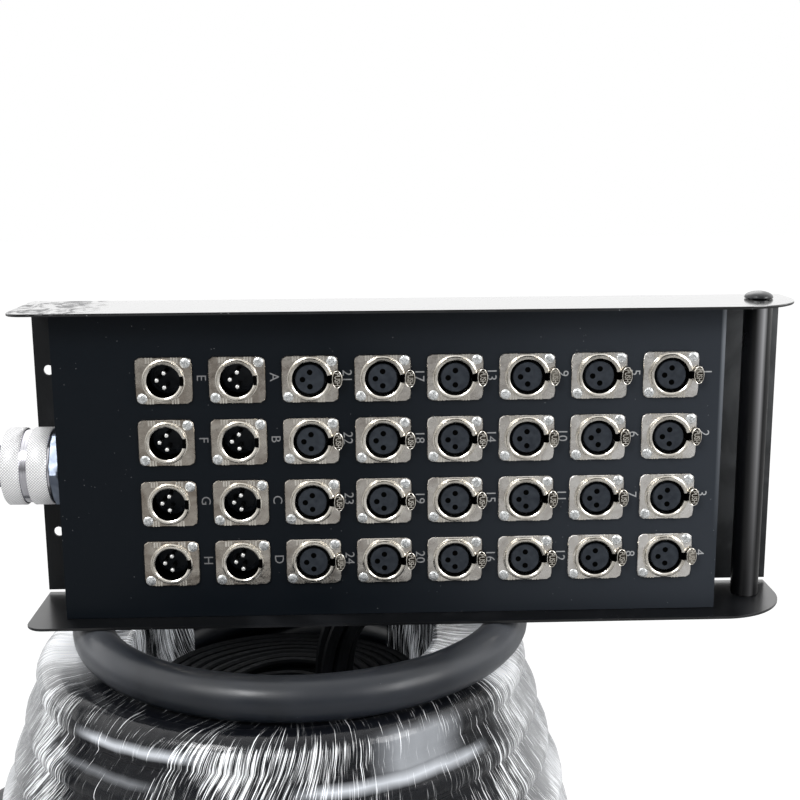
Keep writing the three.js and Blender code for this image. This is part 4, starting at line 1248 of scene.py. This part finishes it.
def make_stage():
    """A white floor and sky, and soft lamps of a plain level."""
    world = bpy.data.worlds.new("studio")
    bpy.context.scene.world = world
    world.use_nodes = True
    tree = world.node_tree
    background = tree.nodes["Background"]
    seen = ray(tree, "Camera") + ray(tree, "Transmission")
    way = node(tree, "ShaderNodeTexCoord", output="Generated")
    side, depth, height = (node(tree, "ShaderNodeSeparateXYZ", [(0, way)], i) for i in range(3))
    around = depth.ramp(-0.5, 0.3) * 0.95 + height.ramp(0.1, 0.6) * 0.6
    mirrored = around + (side * side).ramp(0.3, 0.8) * 0.5 + 0.2
    glossy = ray(tree, "Glossy")
    background.inputs["Color"].default_value = (1, 1, 1, 1)
    strength = seen.ramp(0, 1, 0.5, 1) * (1 - glossy) + glossy * mirrored
    put(tree, background.inputs["Strength"], strength)

    data = bpy.data.meshes.new("floor")
    corners = ((-1, -1), (1, -1), (1, 1), (-1, 1))
    corners = [(x * FLOOR_HALF, y * FLOOR_HALF, FLOOR_LEVEL) for x, y in corners]
    data.from_pydata(corners, [], [(0, 1, 2, 3)])
    floor = placed("floor", data)
    white = bpy.data.materials.new("floor_white")
    white.use_nodes = True
    tree = white.node_tree
    shader = tree.nodes["Principled BSDF"]
    shader.inputs["Roughness"].default_value = 0.9
    tone = ray(tree, "Glossy").mix((0.85, 0.85, 0.85), (0.42, 0.42, 0.42))
    put(tree, shader.inputs["Base Color"], tone)
    glow = node(tree, "ShaderNodeEmission", [("Strength", 1.12)])
    entries = ((0, ray(tree, "Camera") * 0.85), (1, shader.outputs[0]), (2, glow))
    mixed = node(tree, "ShaderNodeMixShader", entries)
    put(tree, tree.nodes["Material Output"].inputs["Surface"], mixed)
    data.materials.append(white)

    for name, place, size, power in LAMPS:
        lamp = bpy.data.lights.new(name, "AREA")
        lamp.energy = power
        lamp.size = size
        holder = placed(name, lamp)
        holder.location = place
        holder.rotation_euler = (Vector((0, 0, 0.2)) - Vector(place)).to_track_quat("-Z", "Y").to_euler()
    bpy.context.scene.view_settings.view_transform = "Standard"


# Add-on


def make_sockets():
    for column in range(COLUMNS):
        make_shells(column)
        make_inserts(column)
    make_tabs()


def make_box():
    make_plates()
    make_handle()
    make_cover_screws()
    if setting("show_labels"):
        make_labels()


def color_setting(name, description, default):
    return FloatVectorProperty(
        name=name, description=description, default=default, min=0, max=1, subtype="COLOR"
    )


class SnakeSettings(bpy.types.PropertyGroup):
    show_labels: BoolProperty(
        name="Channel labels", description="Print a letter or number beside each socket", default=True
    )
    label_height: FloatProperty(
        name="Label height", description="Height of a printed capital", default=LABEL_HEIGHT * MM,
        min=0.001, unit="LENGTH",
    )
    knurls: IntProperty(
        name="Knurls", description="Ridges round the gland's nut", default=KNURLS, min=12
    )
    # The lightest colour of the panel's painted sheen.
    panel_color: color_setting("Panel", "Front panel's coat in the light", (0.028, 0.033, 0.041))
    jacket_color: color_setting("Cable", "Cable's jacket in the light", (0.013, 0.0165, 0.024))
    label_color: color_setting("Labels", "Print beside the sockets", (0.4, 0.41, 0.42))
    crease_color: color_setting("Creases", "White creases of the film", (0.97, 0.98, 0.99))


class SNAKE_OT_solids(bpy.types.Operator):
    """Finish the shell, the cover and the gland's hidden pieces"""

    bl_idname = "snake.solids"
    bl_label = "Finish the solids"

    def execute(self, context):
        finish_solids()
        return {"FINISHED"}


class SNAKE_OT_camera(bpy.types.Operator):
    """Add the camera at the photograph's place"""

    bl_idname = "snake.camera"
    bl_label = "Add the camera"

    def execute(self, context):
        make_camera()
        return {"FINISHED"}


class SNAKE_OT_cable(bpy.types.Operator):
    """Add the trunk cable, its inner turns, the boot, the tails and the plugs"""

    bl_idname = "snake.cable"
    bl_label = "Add the cable and its far end"

    def execute(self, context):
        make_cable()
        return {"FINISHED"}


class SNAKE_OT_film(bpy.types.Operator):
    """Add the stretch film round the coil"""

    bl_idname = "snake.film"
    bl_label = "Add the film"

    def execute(self, context):
        make_film()
        return {"FINISHED"}


class SNAKE_OT_box(bpy.types.Operator):
    """Add the plates, the carrying tube with its bolts, the cover's screws and the labels"""

    bl_idname = "snake.box"
    bl_label = "Add the plates, tube and labels"

    def execute(self, context):
        make_box()
        return {"FINISHED"}


class SNAKE_OT_sockets(bpy.types.Operator):
    """Add the male and female sockets, their inserts and latches"""

    bl_idname = "snake.sockets"
    bl_label = "Add the sockets and latches"

    def execute(self, context):
        make_sockets()
        return {"FINISHED"}


class SNAKE_OT_gland(bpy.types.Operator):
    """Add the gland's hexagon and knurled nut"""

    bl_idname = "snake.gland"
    bl_label = "Add the gland"

    def execute(self, context):
        make_gland()
        return {"FINISHED"}


class SNAKE_OT_stage(bpy.types.Operator):
    """Add the floor, the sky and the lamps"""

    bl_idname = "snake.stage"
    bl_label = "Add the floor and lamps"

    def execute(self, context):
        make_stage()
        return {"FINISHED"}


OPERATORS = (
    SNAKE_OT_solids, SNAKE_OT_camera, SNAKE_OT_cable, SNAKE_OT_film,
    SNAKE_OT_box, SNAKE_OT_sockets, SNAKE_OT_gland, SNAKE_OT_stage,
)


class SNAKE_PT_panel(bpy.types.Panel):
    bl_label = "Stage Box Snake"
    bl_space_type = "VIEW_3D"
    bl_region_type = "UI"
    bl_category = "Snake"

    def draw(self, context):
        for name in SnakeSettings.__annotations__:
            self.layout.prop(context.scene.snake, name)
        for cls in OPERATORS:
            self.layout.operator(cls.bl_idname)


CLASSES = (SnakeSettings, *OPERATORS, SNAKE_PT_panel)


def register():
    for cls in CLASSES:
        bpy.utils.register_class(cls)
    bpy.types.Scene.snake = PointerProperty(type=SnakeSettings)


def unregister():
    del bpy.types.Scene.snake
    for cls in reversed(CLASSES):
        bpy.utils.unregister_class(cls)


def main():
    register()
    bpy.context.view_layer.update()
    bpy.ops.snake.solids()
    bpy.ops.snake.camera()
    bpy.ops.snake.cable()
    bpy.ops.snake.film()
    bpy.ops.snake.box()
    bpy.ops.snake.sockets()
    bpy.ops.snake.gland()
    bpy.ops.snake.stage()


if __name__ == "__main__":
    main()
